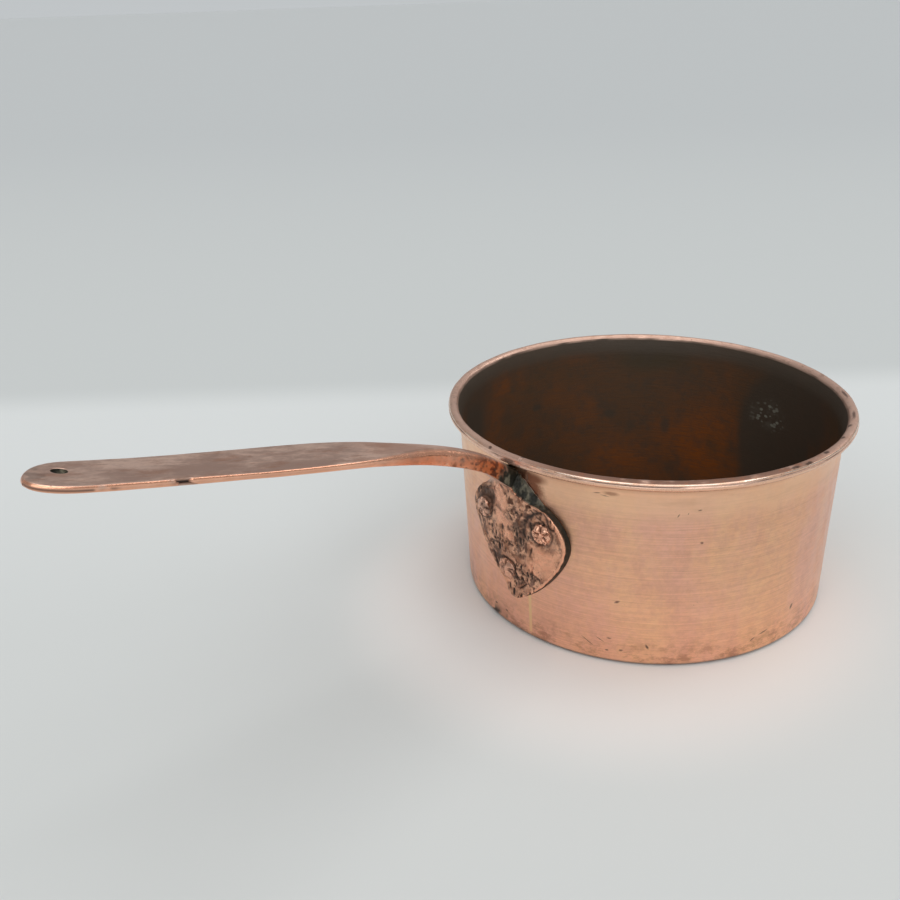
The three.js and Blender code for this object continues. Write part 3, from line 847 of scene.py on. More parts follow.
def section_marks(top_count, under_count):
    """Marks of one section: place across, insets in upper and lower edge radii, level, drop, rise and side.

    The order is the top face from side to side, the second side, the underside and the first side. A side
    runs from the top over the upper edge's quarter circle, straight down, and in over the lower edge's.
    """
    turn = np.linspace(0, math.pi / 2, EDGE_STEPS)
    over, drop = np.sin(turn[1:]), 1 - np.cos(turn[1:])
    none, one = 0 * over, 1 + 0 * over
    step = np.linspace(0, 1, SIDE_STEPS + 1)[1:-1]
    upper = np.stack([one, 1 - over, none, none, drop, none, over], 1)
    straight = np.stack([1 + 0 * step, 0 * step, 0 * step, step, 1 - step, step, 1 + 0 * step], 1)
    lower = np.stack([one, none, 1 - over, one, none, drop, over], 1)[::-1]
    side = np.vstack([upper, straight, lower])
    top, under = np.linspace(-1, 1, top_count)[:, None], np.linspace(1, -1, under_count)[:, None]
    top = np.hstack([top, top * 0 + (1, 0, 0, 0, 0, 0)])
    under = np.hstack([under, under * 0 + (0, 1, 1, 0, 0, 0)])
    return np.vstack([top, side, under, side[::-1] * (-1, 1, 1, 1, 1, 1, -1)]).T


def with_marks(points, *marks):
    """Points with further numbers after their places."""
    return np.concatenate([points] + [np.broadcast_to(m, points.shape[:-1])[..., None] for m in marks], -1)


def strap_rings(size, spine):
    """Sections from the grip's end to the root; points carry distance, across, level, side and hole."""
    place, upper, lower, level, drop, rise, side = section_marks(TOP_COLUMNS, TOP_COLUMNS)
    foot = spine[2][-1] - size.end_length
    main = np.linspace(0.6 * MM, foot, STRAP_ROWS)[:-1]
    turn = np.linspace(0, math.pi / 2 * 0.999, END_ROWS)
    distance = np.concatenate([main, foot + 0 * turn])[::-1, None]
    turn = np.concatenate([0 * main, turn])[::-1, None]
    half, depth = strap_sizes(size, distance)
    blunt = smooth(turn, 0.5, 1.4)
    upper_cut = between(size.neck_edge, size.edge, smooth(distance, 60 * MM, 112 * MM)) + 0.5 * MM * blunt
    lower_cut = size.lower_edge + 0.5 * MM * blunt
    inset = upper * upper_cut + lower * lower_cut
    along = distance + (size.end_length - inset) * np.sin(turn)
    across = place * (half - inset) * np.cos(turn) + size.end_drift * np.sin(turn) ** 2
    sunk = level * depth + drop * upper_cut - rise * lower_cut
    points = on_strap(spine, along, across, sunk)
    return with_marks(points, along, across, sunk / depth, side, 0)


def palm_outline(size, neck_top):
    """Half width against height down the leaf: cubic curves from the neck to the belly and to the tip."""
    half, neck, belly = size.palm / 2, size.neck / 2, size.palm_widest
    top = ((neck, neck_top), (neck + 5 * MM, neck_top - 7 * MM))
    tip = ((17 * MM, size.palm_tip + 9.3 * MM), (2.4 * MM, size.palm_tip))
    upper = cubic((*top, (half, belly + 15 * MM), (half, belly)), LEAF_SAMPLES)
    lower = cubic(((half, belly), (half, belly - 10 * MM), *tip), LEAF_SAMPLES)
    leaf = np.vstack([upper, lower[1:]])
    run = np.concatenate([[0], np.cumsum(np.linalg.norm(np.diff(leaf, axis=0), axis=1))])
    place = np.linspace(0, run[-1], PALM_ROWS)
    return np.interp(place, run, leaf[:, 0]), np.interp(place, run, leaf[:, 1])


def palm_faces(size, body, root, height):
    """Front and back lines of the palm as (distance from the axis, height), and how far it is into the neck.

    The back follows the wall. The front runs beside it, and above the shoulder it follows a quadratic curve
    out to the underside of the neck.
    """
    slope = wall_slope(body)
    lean = size.start_angle
    under = root + size.root_thickness * np.array([math.sin(lean), -math.cos(lean)])
    base = body.foot + body.fit
    shoulder = np.array([base + size.palm_shoulder * slope + size.palm_thickness, size.palm_shoulder])
    reach = under[0] - shoulder[0]
    knee = under - (reach, reach * math.tan(lean))
    rise = np.clip((height - size.palm_shoulder) / (root[1] - size.palm_shoulder), 0, 1)
    fillet = (1 - rise) ** 2 * shoulder + 2 * rise * (1 - rise) * knee + rise**2 * under
    face = np.hstack([base + height * slope + size.palm_thickness, height])
    back = np.hstack([base - 2 * body.fit + height * slope, height])
    return np.where(rise > 0, fillet, face), back, rise


def palm_rings(size, body, root):
    """Sections down the palm between its back and its front, bent round the pot by their places across.

    The near side spreads towards the wall, and the far side is slimmer below the belly.
    """
    place, upper, lower, level, drop, lift, side = section_marks(TOP_COLUMNS, PALM_COLUMNS)
    half, height = (v[:, None] for v in palm_outline(size, root[1]))
    front, back, rise = palm_faces(size, body, root, height)
    tip = size.palm_tip
    thick = np.linalg.norm(front - back, axis=1)[:, None]
    upper_cut = between(0.7 * MM, size.neck_edge, smooth(height, size.palm_shoulder, root[1]))
    lower_cut = size.lower_edge
    inset = upper * upper_cut + lower * lower_cut
    level = level + (drop * upper_cut - lift * lower_cut) / thick
    front_half = between(size.neck / 2, half, (1 - rise) ** 4)
    web = size.web * smooth(height, tip - 2 * MM, tip + 4 * MM)
    web = web * smooth(height, root[1] - 0.3 * MM, root[1] - 4 * MM)
    wide = half * (1 - level) + front_half * level + web * (1 - level) ** 1.3 * (side > 0)
    across = place * (wide - np.minimum(inset, wide / 2))
    slim = size.palm_slim * smooth(height, tip, tip + 8 * MM) * smooth(height, 68 * MM, 50 * MM)
    across = across + slim * np.clip(-place, 0, 1) ** 2
    across = across - 1.7 * MM * band(height, 80 * MM, 5 * MM) * (1 - level) * np.clip(place, 0, 1) ** 2
    out = back[:, :1] * (1 - level) + front[:, :1] * level
    up = back[:, 1:] * (1 - level) + front[:, 1:] * level
    ridge = size.palm_ridge * smooth(height, tip + 26 * MM, size.palm_shoulder) * (1 - rise)
    swell = np.clip(1 - (across / (10 * MM)) ** 2, 0, 1) ** 2 * (level == 1)
    out = out + ridge * swell
    across = across + size.palm_drift * (root[1] - height) / (root[1] - tip)
    turned = across / body.wall_top
    points = np.stack([-out * np.cos(turned), -out * np.sin(turned), up], -1)
    return with_marks(points, height - root[1], across, level, side, 0)


def seat_on_wall(points, body, gap):
    """Moves points that lie inside the wall, or closer to it than a gap, straight out.

    The deeper a point lay, the closer it ends up, within half the gap, so that neighbours never coincide.
    """
    radius = np.hypot(points[..., 0], points[..., 1])
    least = outer_radius(body, points[..., 2]) + gap
    short = np.maximum(least - radius, 0)
    scale = np.where(short > 0, (least - 0.5 * gap * short / (short + 1 * MM)) / radius, 1)[..., None]
    return np.concatenate([points[..., :2] * scale, points[..., 2:]], -1)


def handle_shape(size, body):
    """Sections lofted from the grip's end over the neck and down the palm, with a lipped hanging hole."""
    spine = spine_of(size, body)
    strap = strap_rings(size, spine)
    palm = palm_rings(size, body, spine[0][0])
    last = strap[-1]
    under = slice(TOP_COLUMNS + SIDE, 2 * TOP_COLUMNS + SIDE)
    last = np.concatenate([last[: under.start], repeated(last[under], PALM_COLUMNS), last[under.stop :]])
    palm = np.concatenate([last[None], palm])
    strap, palm = (np.concatenate([rings, rings[:, :1]], 1) for rings in (strap, palm))
    block, keep = hole_block(size, strap, spine[2][-1])
    strap, palm = (seat_on_wall(rings, body, 0.12 * MM) for rings in (strap, palm))
    shape = Shape().grid(strap, keep=keep).grid(palm)
    shape.grid(hole_rings(size, spine, strap, block))
    shape.grid(cap_rows(strap[0], TOP_COLUMNS), outward=False)
    shape.grid(cap_rows(palm[-1], PALM_COLUMNS))
    return shape


def repeated(points, count):
    """A row of points made longer, by taking each so often that it fills the count."""
    return np.repeat(points, math.ceil(count / len(points)), axis=0)[:count]


def cap_rows(end, under_columns):
    """Rows across a flat end: the top line, lines between matching side points, and the underside's line."""
    count = max(TOP_COLUMNS, under_columns)
    under = TOP_COLUMNS + SIDE
    top = repeated(end[:TOP_COLUMNS], count)
    bottom = end[under : under + under_columns][::-1]
    right, left = end[TOP_COLUMNS:under], end[under + under_columns : -1][::-1]
    steps = np.linspace(0, 1, count)[:, None]
    return np.stack([top, *(a * (1 - steps) + b * steps for a, b in zip(left, right)), bottom])


def hole_block(size, strap, whole):
    """Rows and columns of the strap's cells that make room for the hole, and which cells stay."""
    along, across = strap[:, 0, 3], strap[:, :TOP_COLUMNS, 4]
    reach = size.hole + size.lip + 1.6 * MM
    centre = whole - size.hole_inset
    low, high = np.searchsorted(-along, (-centre - reach, -centre + reach))
    row = across[(low + high) // 2]
    left, right = np.searchsorted(row, (-size.hole_across - reach, -size.hole_across + reach))
    keep = np.ones((strap.shape[0] - 1, strap.shape[1] - 1), bool)
    mirror = 2 * TOP_COLUMNS + SIDE - 1
    keep[low:high, left:right] = False
    keep[low:high, mirror - right : mirror - left] = False
    return (low, high, left, right, centre), keep


def hole_rings(size, spine, strap, block):
    """Rows from the opening in the top face in to the hole, over its worn lips, down and out underneath."""
    low, high, left, right, centre = block
    rows, columns = np.arange(low, high + 1), np.arange(left, right + 1)
    row = np.concatenate([0 * columns + low, rows[1:], 0 * columns[1:] + high, rows[-2::-1]])
    column = np.concatenate([columns, 0 * rows[1:] + right, columns[-2::-1], 0 * rows[1:] + left])
    top = strap[row, column]
    bottom = strap[row, 2 * TOP_COLUMNS + SIDE - 1 - column]
    middle = -size.hole_across
    turn = np.arctan2(top[:, 4] - middle, top[:, 3] - centre)
    bend = np.linspace(0, math.pi / 2, HOLE_ROWS)
    bends = np.concatenate([bend, bend[::-1]])[:, None]
    radius = size.hole + size.lip * (1 - np.sin(bends))
    level = np.repeat([0.0, 1.0], len(bend))[:, None]
    sunk = level * size.thickness + np.where(level > 0, -1, 1) * size.lip * (1 - np.cos(bends))
    along, across = centre + radius * np.cos(turn), middle + radius * np.sin(turn)
    lips = on_strap(spine, along, across, sunk)
    lips = with_marks(lips, along, across, sunk / size.thickness, 0, np.sin(bends))
    share = np.linspace(0, 1, HOLE_ROWS)[1:-1, None, None]
    inner, outer = top * (1 - share) + lips[0] * share, lips[-1] * (1 - share) + bottom * share
    inner[..., :3] = on_strap(spine, inner[..., 3], inner[..., 4], 0)
    outer[..., :3] = on_strap(spine, outer[..., 3], outer[..., 4], size.thickness)
    return np.concatenate([top[None], inner, lips, outer, bottom[None]])


def rivet_profile(size, body, tail_base):
    """Half section of a rivet as (radius, place along its axis): a domed tail, a shank and a low head."""
    hollow = size.rivet_head**2 / (2 * (body.foot - body.sheet))
    head_base = -(body.sheet + body.fit + hollow)
    turn = np.linspace(0, math.pi / 2, TAIL_ROWS)
    edge = 0.1 * MM
    dome = tail_base + edge + (size.rivet_tail_height - edge) * np.cos(turn) ** 0.8
    tail = np.stack([size.rivet_tail * np.sin(turn), dome], 1)
    turn = np.linspace(0, math.pi / 2, HEAD_ROWS)
    head = np.stack([size.rivet_head * np.cos(turn), head_base - size.rivet_head_height * np.sin(turn)], 1)
    shank = np.array([(size.rivet_tail * 0.97, tail_base), (size.shank, tail_base), (size.shank, head_base)])
    return np.vstack([tail, shank, head])


def tail_cracks(radius, rounds, seed):
    """Grooves from 0 to 1 that run out from a rivet's middle in bent lines, a little unevenly spaced."""
    number = np.arange(RIVET_CRACKS)
    places = np.stack([number, 0 * number + seed, number], -1)
    lines = (number + 0.7 * cell_random(places, seed)) * TURN / RIVET_CRACKS
    depths = 0.4 + 0.6 * cell_random(places, seed + 1)
    bent = rounds + 0.25 * clouds(np.stack([radius, 0 * radius, 0 * radius + seed * MM], -1), 2 * MM, seed, 1)
    gap = np.abs((bent[..., None] - lines + math.pi) % TURN - math.pi) * radius[..., None]
    return (depths * np.exp(-((gap / (0.5 * MM)) ** 2))).max(-1) * smooth(radius, 0.6 * MM, 1.8 * MM)


def rivet_shape(size, body, across, height, seed):
    """The rivet's profile turned round its axis, with a tail that was hammered over into cracked lobes.

    The tail's radius and height fall along the cracks and with soft noise.
    """
    tail_base = body.fit + size.palm_thickness - 0.15 * MM
    profile = rivet_profile(size, body, tail_base)
    rounds = np.linspace(0, TURN, RIVET_COLUMNS + 1)
    is_tail = smooth(profile[:, 1:], tail_base - 0.05 * MM, tail_base + 0.05 * MM)
    radius = profile[:, :1] + 0 * rounds
    crack = tail_cracks(radius, rounds, seed) * is_tail
    local = np.stack([profile[:, 1:] + 0 * rounds, radius * np.cos(rounds), radius * np.sin(rounds)], -1)
    lumps = clouds(local + seed * 7 * MM, 2.0 * MM, seed + 3, 2)
    shrink = 1 - is_tail * (0.2 * crack - 0.04 + 0.1 * lumps)
    beaten = 1.4 * MM * crack + 0.85 * MM * (0.7 - lumps)
    local[..., 0] -= is_tail * beaten * smooth(radius, 5.2 * MM, 4 * MM)
    local[..., 1:] *= shrink[..., None]
    slope = wall_slope(body)
    placed = local @ np.array(Matrix.Rotation(math.atan(slope), 3, "Y")).T
    placed += (body.foot + height * slope, 0, height)
    spin = np.array(Matrix.Rotation(math.pi + across / body.wall_top, 3, "Z"))
    return Shape().grid(with_marks(placed @ spin.T, crack, is_tail, lumps), outward=False).weld()


def on_palm(body, across, height):
    """A place on the palm's face."""
    out = body.foot + height * wall_slope(body) + 3.8 * MM
    turned = across / body.wall_top
    return -out * math.cos(turned), -out * math.sin(turned), height


def near_palm(at, body, across, height, radius, ragged=0.35):
    """A ragged round mark on the palm, in millimetres across and up."""
    return blot(at, on_palm(body, across * MM, height * MM), radius * MM, ragged)


def palm_cracks(across, height, ragged):
    """Ragged grooves from 0 to 1 along the palm's cracks, by the distance to the nearest stretch of each."""
    here = np.stack([across, height], -1) / MM
    deepest = np.zeros(len(across))
    for width, *ends in PALM_CRACKS:
        for start, end in zip(ends, ends[1:]):
            run = np.subtract(end, start)
            share = np.clip((here - start) @ run / (run @ run), 0, 1)[:, None]
            away = np.linalg.norm(here - start - share * run, axis=1) / width + ragged
            deepest = np.maximum(deepest, np.exp(-(np.maximum(away, 0) ** 2)))
    return deepest


class HandlePlaces:
    """Where the handle's points lie: along it, across it, down its sides, and on which of its features."""

    def __init__(self, shape, size, body):
        self.at = at = shape.at
        self.along, self.across, self.level, self.side, self.hole = shape.marks
        self.spine = spine_of(size, body)
        root = self.spine[0][0, 1]
        half, height = palm_outline(size, root)
        drift = size.palm_drift * (root - at[:, 2]) / (root - size.palm_tip)
        self.edge_gap = np.interp(at[:, 2], height[::-1], half[::-1]) + drift - self.across
        self.whole = self.along.max()
        self.on_palm = self.along < 0
        self.on_strap = ~self.on_palm
        self.clear = self.along > 8 * MM
        self.on_top = (self.side == 0) * (self.level < 0.5)
        self.sides = np.abs(self.side)
        self.near = smooth(self.side, 0.25, 0.7)
        self.front = smooth(self.level, 0.5, 0.9) * self.on_palm
        self.web = self.near * self.on_palm * smooth(at[:, 2], 74 * MM, 83 * MM)
        self.fibres = clouds(at * (2.2, 2.2, 0.7), 2.6 * MM, 97, 3)
        self.shade = clouds(at, 6 * MM, 91, 2)


def palm_relief_and_shade(spots, body):
    """Depth and darkness of the palm's pits, rivet grooves, hollow, fold and hammered lumps; the darkness in
    the grooves, the hollow and the low spots between lumps is painted shade.
    """
    at = spots.at
    height = at[:, 2]
    lumps = clouds(at, 8 * MM, 71, 3) + 0.6 * clouds(at, 3 * MM, 73, 2)
    low = near_palm(at, body, 7, 35, 15)
    middle = most_of(*(near_palm(at, body, *place) for place in PITTED))
    where = np.clip(low + 0.9 * middle + 0.5 * smooth(clouds(at, 12 * MM, 83, 2), 0.0, 0.5), 0, 1)
    drawn = at * (1, 1.5, 0.6)
    pits = most_of(pocks(drawn, 1.9 * MM, 0.7, 81), 0.9 * pocks(drawn, 3.2 * MM, 0.5, 87)) * where
    rings = np.zeros(len(at))
    for left, up in RIVETS.values():
        away = np.linalg.norm(at - on_palm(body, left, up), axis=1) + 0.6 * MM * clouds(at, 3 * MM, 89, 1)
        rings = most_of(rings, band(away, 5.7 * MM, 0.9 * MM))
    hollow = near_palm(at, body, -15, 75, 9, 0.12)
    reach = smooth(height, 60 * MM, 66 * MM) * smooth(height, 84 * MM, 76 * MM)
    fold = 0.4 * band(spots.edge_gap + 0.4 * MM * clouds(at, 5 * MM, 93, 1), 3 * MM, 0.5 * MM) * reach
    inner = smooth(spots.edge_gap, 1.3 * MM, 2.8 * MM)
    fold = most_of(fold, palm_cracks(spots.across, height, 0.5 * clouds(at, 2.2 * MM, 105, 2)) * inner)
    depth = 0.42 * MM * lumps - 0.9 * MM * pits - 0.55 * MM * rings - 1.5 * MM * hollow - 0.8 * MM * fold
    # The darkness of the rivet grooves, the hollow and the dents is painted shade
    dent_shade = 0.75 * smooth(-lumps, 0.35, 0.8)
    return depth, most_of(smooth(pits, 0.1, 0.45), 0.9 * rings, fold, 0.85 * hollow, dent_shade)


def neck_pits(spots):
    """Small pits in the near side of the neck, deeper towards its root."""
    along = spots.along
    pits = pocks(spots.at, 1.8 * MM, 0.75, 101) * spots.near * smooth(along, 78 * MM, 60 * MM)
    pits = pits * (along > 4 * MM)
    return pits * np.clip(0.25 + smooth(along, 50 * MM, 30 * MM), 0, 1)


def grip_nick(spots):
    """The dark nick in the grip's near edge, at its distance from the pot's axis."""
    place = np.interp(265.6 * MM, spots.spine[0][:, 0], spots.spine[2])
    away = np.abs(spots.along - place) / (4 * MM) + 0.5 * clouds(spots.at, 1.8 * MM, 103, 2)
    return (1 - smooth(away, 0.55, 1)) * smooth(spots.side, 0.1, 0.5) * spots.on_strap


def strap_wear_and_highlights(spots):
    """Bright metal on the strap, partly wear and partly painted highlight: two lines along its near side, its
    far side, and the neck's top.
    """
    strip = spots.near * spots.clear * smooth(spots.shade, -1.3, -0.2)
    lines = np.clip(0.45 + band(spots.level, 0.08, 0.26) + 0.5 * band(spots.level, 0.95, 0.2), 0, 1)
    near = strip * lines * smooth(spots.along, 15 * MM, 45 * MM)
    top = 0.7 * spots.on_top * smooth(spots.along, 105 * MM, 50 * MM) * spots.clear
    return most_of(near, top, 0.7 * smooth(-spots.side, 0.3, 0.8) * spots.clear)


def lip_wear(spots):
    """Bright metal along the palm's lip."""
    outer = smooth(1 - spots.sides, 0.05, 0.3)
    lip = np.where(spots.side != 0, outer, smooth(spots.edge_gap, 1.9 * MM, 0.9 * MM))
    return lip * smooth(spots.level, 0.6, 0.85) * spots.on_palm


def heated_metal(spots):
    """Orange metal on the near side of the neck, and below the strap's bright line."""
    along, level = spots.along, spots.level
    neck = spots.near * spots.on_strap * smooth(along, 3 * MM, 12 * MM) * smooth(along, 100 * MM, 60 * MM)
    neck = neck * (0.5 + 0.5 * most_of(smooth(level, 0.45, 0.95), smooth(along, 45 * MM, 25 * MM)))
    return most_of(neck, 0.45 * spots.near * (1 - smooth(level, 0.75, 0.35)) * spots.clear)


def grip_dirt(spots):
    """Dirt at the grip's end: a line along its side, a smudge round its corner, and clouds on its top."""
    at, along, whole = spots.at, spots.along, spots.whole
    line = spots.near * band(spots.level, 0.6, 0.2) * smooth(along, whole - 30 * MM, whole - 24 * MM)
    line = line * smooth(spots.shade, -0.3, 0.2)
    smudge = blot(at, (-311.5 * MM, 3 * MM, 161.3 * MM), 6 * MM, 0.8) * 0.6
    end = smooth(along, whole - 46 * MM, whole - 36 * MM) * smooth(spots.across, 0, 6 * MM) * spots.on_top
    cloudy = smooth(clouds(at * (0.5, 1, 1), 3 * MM, 107, 3), -0.4, 0.8)
    return most_of(0.8 * line, smudge, 0.4 * end * cloudy)


def crust_and_hole_shade(spots):
    """Green-black crust on the web and the palm's near side and round the root, and crust with painted shade
    in the hanging hole.
    """
    side = spots.near * spots.on_palm * smooth(spots.level, 0.97, 0.85)
    root_gap = spots.along + 4 * MM * spots.fibres
    root = smooth(spots.sides, 0.2, 0.6) * spots.on_strap * smooth(root_gap, 15 * MM, 6 * MM)
    top = spots.on_strap * smooth(spots.level, 0.3, 0.1) * smooth(spots.along, 11 * MM, 6 * MM)
    web = spots.web * smooth(spots.fibres, -1.4, -0.2)
    # the hanging hole's walls are dark from crust and painted shade
    return most_of(web, side, root, top, smooth(spots.hole, 0.8, 0.98))


def worked_handle(shape, size, body):
    """Hammers, pits and wears the handle's surface, and says where it is worn or painted with highlights,
    heated, pitted or painted with shade, and crusted.
    """
    spots = HandlePlaces(shape, size, body)
    depth, dark = palm_relief_and_shade(spots, body)
    pits, nick = neck_pits(spots), grip_nick(spots)
    bare = np.clip(1 - spots.hole, 0, 1)
    dents = clouds(spots.at * (0.5, 1, 1), 11 * MM, 75, 2)
    wavy = clouds(spots.at * (1, 0.2, 0.2), 13 * MM, 77, 2)
    push = -0.04 * MM - 0.11 * MM * dents * bare - 0.22 * MM * spots.sides * (0.5 + 0.5 * wavy)
    push = np.where(spots.on_palm, 0, push)
    push += spots.front * depth + spots.web * (0.3 * MM + 0.8 * MM * spots.fibres)
    shape.push(push - 0.5 * MM * pits - 1.0 * MM * nick)
    pale = most_of(*(near_palm(spots.at, body, *place) for place in RUBBED))
    dark = dark * (1 - 0.8 * pale)
    masks = {
        # Worn: wear, with painted highlights along the strap
        "worn": most_of(strap_wear_and_highlights(spots), 0.9 * lip_wear(spots), 0.8 * pale * spots.front),
        "heated": heated_metal(spots),
        # Pitted: dark pits, nick and dirt, with the palm's painted shade
        "pitted": most_of(spots.front * dark, pits, nick, grip_dirt(spots)),
        "stain": crust_and_hole_shade(spots),
        "palm": smooth(spots.along, 5 * MM, -3 * MM) * smooth(spots.level, 0.2, 0.6),
    }
    return {key: np.clip(values, 0, 1) for key, values in masks.items()}


# Materials


def put(tree, kind, links=None, **settings):
    """Adds a node, sets its options, and links sockets or sets values by input name or number."""
    node = tree.nodes.new(kind)
    for key, value in settings.items():
        setattr(node, key, value)
    for key, value in (links or {}).items():
        if isinstance(value, bpy.types.NodeSocket):
            tree.links.new(value, node.inputs[key])
        else:
            node.inputs[key].default_value = value
    return node


def rgba(value):
    """A colour with full cover."""
    return (*value, 1)


def mixed(tree, factor, *pair):
    """A colour between a pair, each of them a colour or what a node gives."""
    first, second = (tone if isinstance(tone, bpy.types.NodeSocket) else rgba(tone) for tone in pair)
    links = {0: factor, MIX_FIRST: first, MIX_SECOND: second}
    return put(tree, "ShaderNodeMix", links, data_type="RGBA").outputs[MIX_RESULT]


def math_node(tree, operation, a, b=0.0, clamp=False):
    """The result of a sum on two numbers."""
    return put(tree, "ShaderNodeMath", {0: a, 1: b}, operation=operation, use_clamp=clamp).outputs[0]


def ramped(tree, value, low, high, to_low=0.0, to_high=1.0):
    """A smooth step of a value from one range into another."""
    links = {"Value": value, "From Min": low, "From Max": high, "To Min": to_low, "To Max": to_high}
    return put(tree, "ShaderNodeMapRange", links, interpolation_type="SMOOTHSTEP").outputs[0]


def mask(tree, name):
    """A number painted on the piece's points."""
    return put(tree, "ShaderNodeAttribute", attribute_name=name).outputs["Fac"]


def group(name, inputs, outputs, build):
    """A shader node group with named number inputs and named outputs, made once."""
    tree = bpy.data.node_groups.new(name, "ShaderNodeTree")
    for key, default in inputs.items():
        kind = "NodeSocketVector" if isinstance(default, tuple) else "NodeSocketFloat"
        tree.interface.new_socket(key, in_out="INPUT", socket_type=kind).default_value = default
    for key in outputs:
        tree.interface.new_socket(key, in_out="OUTPUT", socket_type="NodeSocketFloat")
    given = tree.nodes.new("NodeGroupInput")
    made = build(tree, given.outputs)
    put(tree, "NodeGroupOutput", made)
    return tree


def object_place(tree, stretch):
    """Object coordinates, stretched along each axis."""
    place = put(tree, "ShaderNodeTexCoord").outputs["Object"]
    return put(tree, "ShaderNodeVectorMath", {0: place, 1: stretch}, operation="MULTIPLY").outputs[0]


def clouds_group():
    """Soft patches: noise at stretched object coordinates, between a low and a high level."""
    def build(tree, given):
        place = object_place(tree, given["Stretch"])
        links = {"Vector": place, "Scale": given["Scale"], "Detail": 5.0, "Roughness": given["Roughness"]}
        noise = put(tree, "ShaderNodeTexNoise", links)
        return {"Mask": ramped(tree, noise.outputs["Fac"], given["Low"], given["High"])}

    inputs = {"Scale": 30.0, "Stretch": (1.0, 1.0, 1.0), "Roughness": 0.55, "Low": 0.35, "High": 0.65}
    return group("Patina clouds", inputs, ["Mask"], build)


def pits_group():
    """Round pits in cells, of a size that grows with patches of noise."""
    def build(tree, given):
        place = object_place(tree, given["Stretch"])
        cells = put(tree, "ShaderNodeTexVoronoi", {"Vector": place, "Scale": given["Scale"]})
        links = {"Vector": place, "Scale": given["Patch scale"], "Detail": 3.0}
        patches = put(tree, "ShaderNodeTexNoise", links).outputs["Fac"]
        size = ramped(tree, patches, given["Low"], given["High"], 0.0, 0.42)
        inside = math_node(tree, "SUBTRACT", size, cells.outputs["Distance"])
        return {"Mask": ramped(tree, inside, 0.0, 0.14)}

    inputs = {"Scale": 900.0, "Stretch": (1.0, 1.0, 1.0), "Patch scale": 80.0, "Low": 0.5, "High": 0.75}
    return group("Pits", inputs, ["Mask"], build)


def marks_group():
    """A ragged mark: how far a place is from a middle, in lengths along a direction and widths across."""
    def build(tree, given):
        def vectors(kind, a, b):
            return put(tree, "ShaderNodeVectorMath", {0: a, 1: b}, operation=kind).outputs

        def lengthened(a, factor):
            return put(tree, "ShaderNodeVectorMath", {0: a, "Scale": factor}, operation="SCALE").outputs[0]

        place = object_place(tree, (1.0, 1.0, 1.0))
        links = {"Vector": place, "Scale": given["Grain"], "Detail": 2.0}
        wobble = put(tree, "ShaderNodeTexNoise", links).outputs["Color"]
        wobble = lengthened(vectors("SUBTRACT", wobble, (0.5, 0.5, 0.5))[0], given["Ragged"])
        away = vectors("SUBTRACT", vectors("ADD", place, wobble)[0], given["Place"])[0]
        along = vectors("DOT_PRODUCT", away, given["Along"])["Value"]
        aside = vectors("SUBTRACT", away, lengthened(given["Along"], along))[0]
        across = put(tree, "ShaderNodeVectorMath", {0: aside}, operation="LENGTH").outputs["Value"]
        across = math_node(tree, "DIVIDE", across, given["Width"])
        along = math_node(tree, "DIVIDE", along, given["Length"])
        sides = math_node(tree, "ADD", scaled(tree, along, along), scaled(tree, across, across))
        return {"Mask": ramped(tree, math_node(tree, "SQRT", sides), 1.0, given["Core"])}

    inputs = {"Place": (0.0, 0.0, 0.0), "Along": (0.0, 0.0, 1.0), "Length": 0.01, "Width": 0.01, "Core": 0.4}
    return group("Marks", {**inputs, "Ragged": 0.002, "Grain": 120.0}, ["Mask"], build)


def material(name):
    """A material with an empty node tree."""
    made = bpy.data.materials.new(name)
    made.use_nodes = True
    made.node_tree.nodes.clear()
    return made, made.node_tree


def finish_material(tree, base, metallic, roughness, height, bump=0.3, **constants):
    """The surface shader with its colour, metal share, roughness and bump joined up."""
    bumps = {"Height": height, "Strength": bump, "Distance": 0.3 * MM}
    normal = put(tree, "ShaderNodeBump", bumps).outputs[0]
    links = {"Base Color": base, "Metallic": metallic, "Roughness": roughness, "Normal": normal, **constants}
    shader = put(tree, "ShaderNodeBsdfPrincipled", links)
    put(tree, "ShaderNodeOutputMaterial", {"Surface": shader.outputs[0]})


def effect(tree, name, **values):
    """A placed effect group with its own values, and its mask."""
    node = put(tree, "ShaderNodeGroup", node_tree=bpy.data.node_groups[name])
    for key, value in values.items():
        node.inputs[key.replace("_", " ")].default_value = value
    return node.outputs["Mask"]


def most(tree, *masks):
    """The greatest of several masks."""
    top = masks[0]
    for other in masks[1:]:
        top = math_node(tree, "MAXIMUM", top, other)
    return top


def scaled(tree, value, factor):
    """A value times a factor."""
    return math_node(tree, "MULTIPLY", value, factor)


def uncovered(tree, *covers):
    """What several masks leave bare."""
    return math_node(tree, "SUBTRACT", 1.0, most(tree, *covers), clamp=True)


def layered(tree, tone, *layers):
    """Lays colours over a tone in turn, each where its mask is, by its share."""
    for cover, share, over in layers:
        tone = mixed(tree, scaled(tree, cover, share) if share < 1 else cover, tone, over)
    return tone


def cloud(tree, scale, low, high, stretch=(1.0, 1.0, 1.0), roughness=0.55):
    """Soft, patchy noise between a low and a high level."""
    values = {"Scale": scale, "Stretch": stretch, "Roughness": roughness, "Low": low, "High": high}
    return effect(tree, "Patina clouds", **values)


def axis(tree, index):
    """How far along one of the object's own axes each point lies."""
    return put(tree, "ShaderNodeSeparateXYZ", {0: object_place(tree, (1.0, 1.0, 1.0))}).outputs[index]


def around_pot(azimuth, height, radius):
    """A place at an azimuth in degrees and a height and radius in millimetres."""
    turned = math.radians(azimuth)
    return radius * math.cos(turned) * MM, radius * math.sin(turned) * MM, height * MM


def level_line(azimuth):
    """The direction round the pot at an azimuth in degrees."""
    turned = math.radians(azimuth)
    return -math.sin(turned), math.cos(turned), 0.0


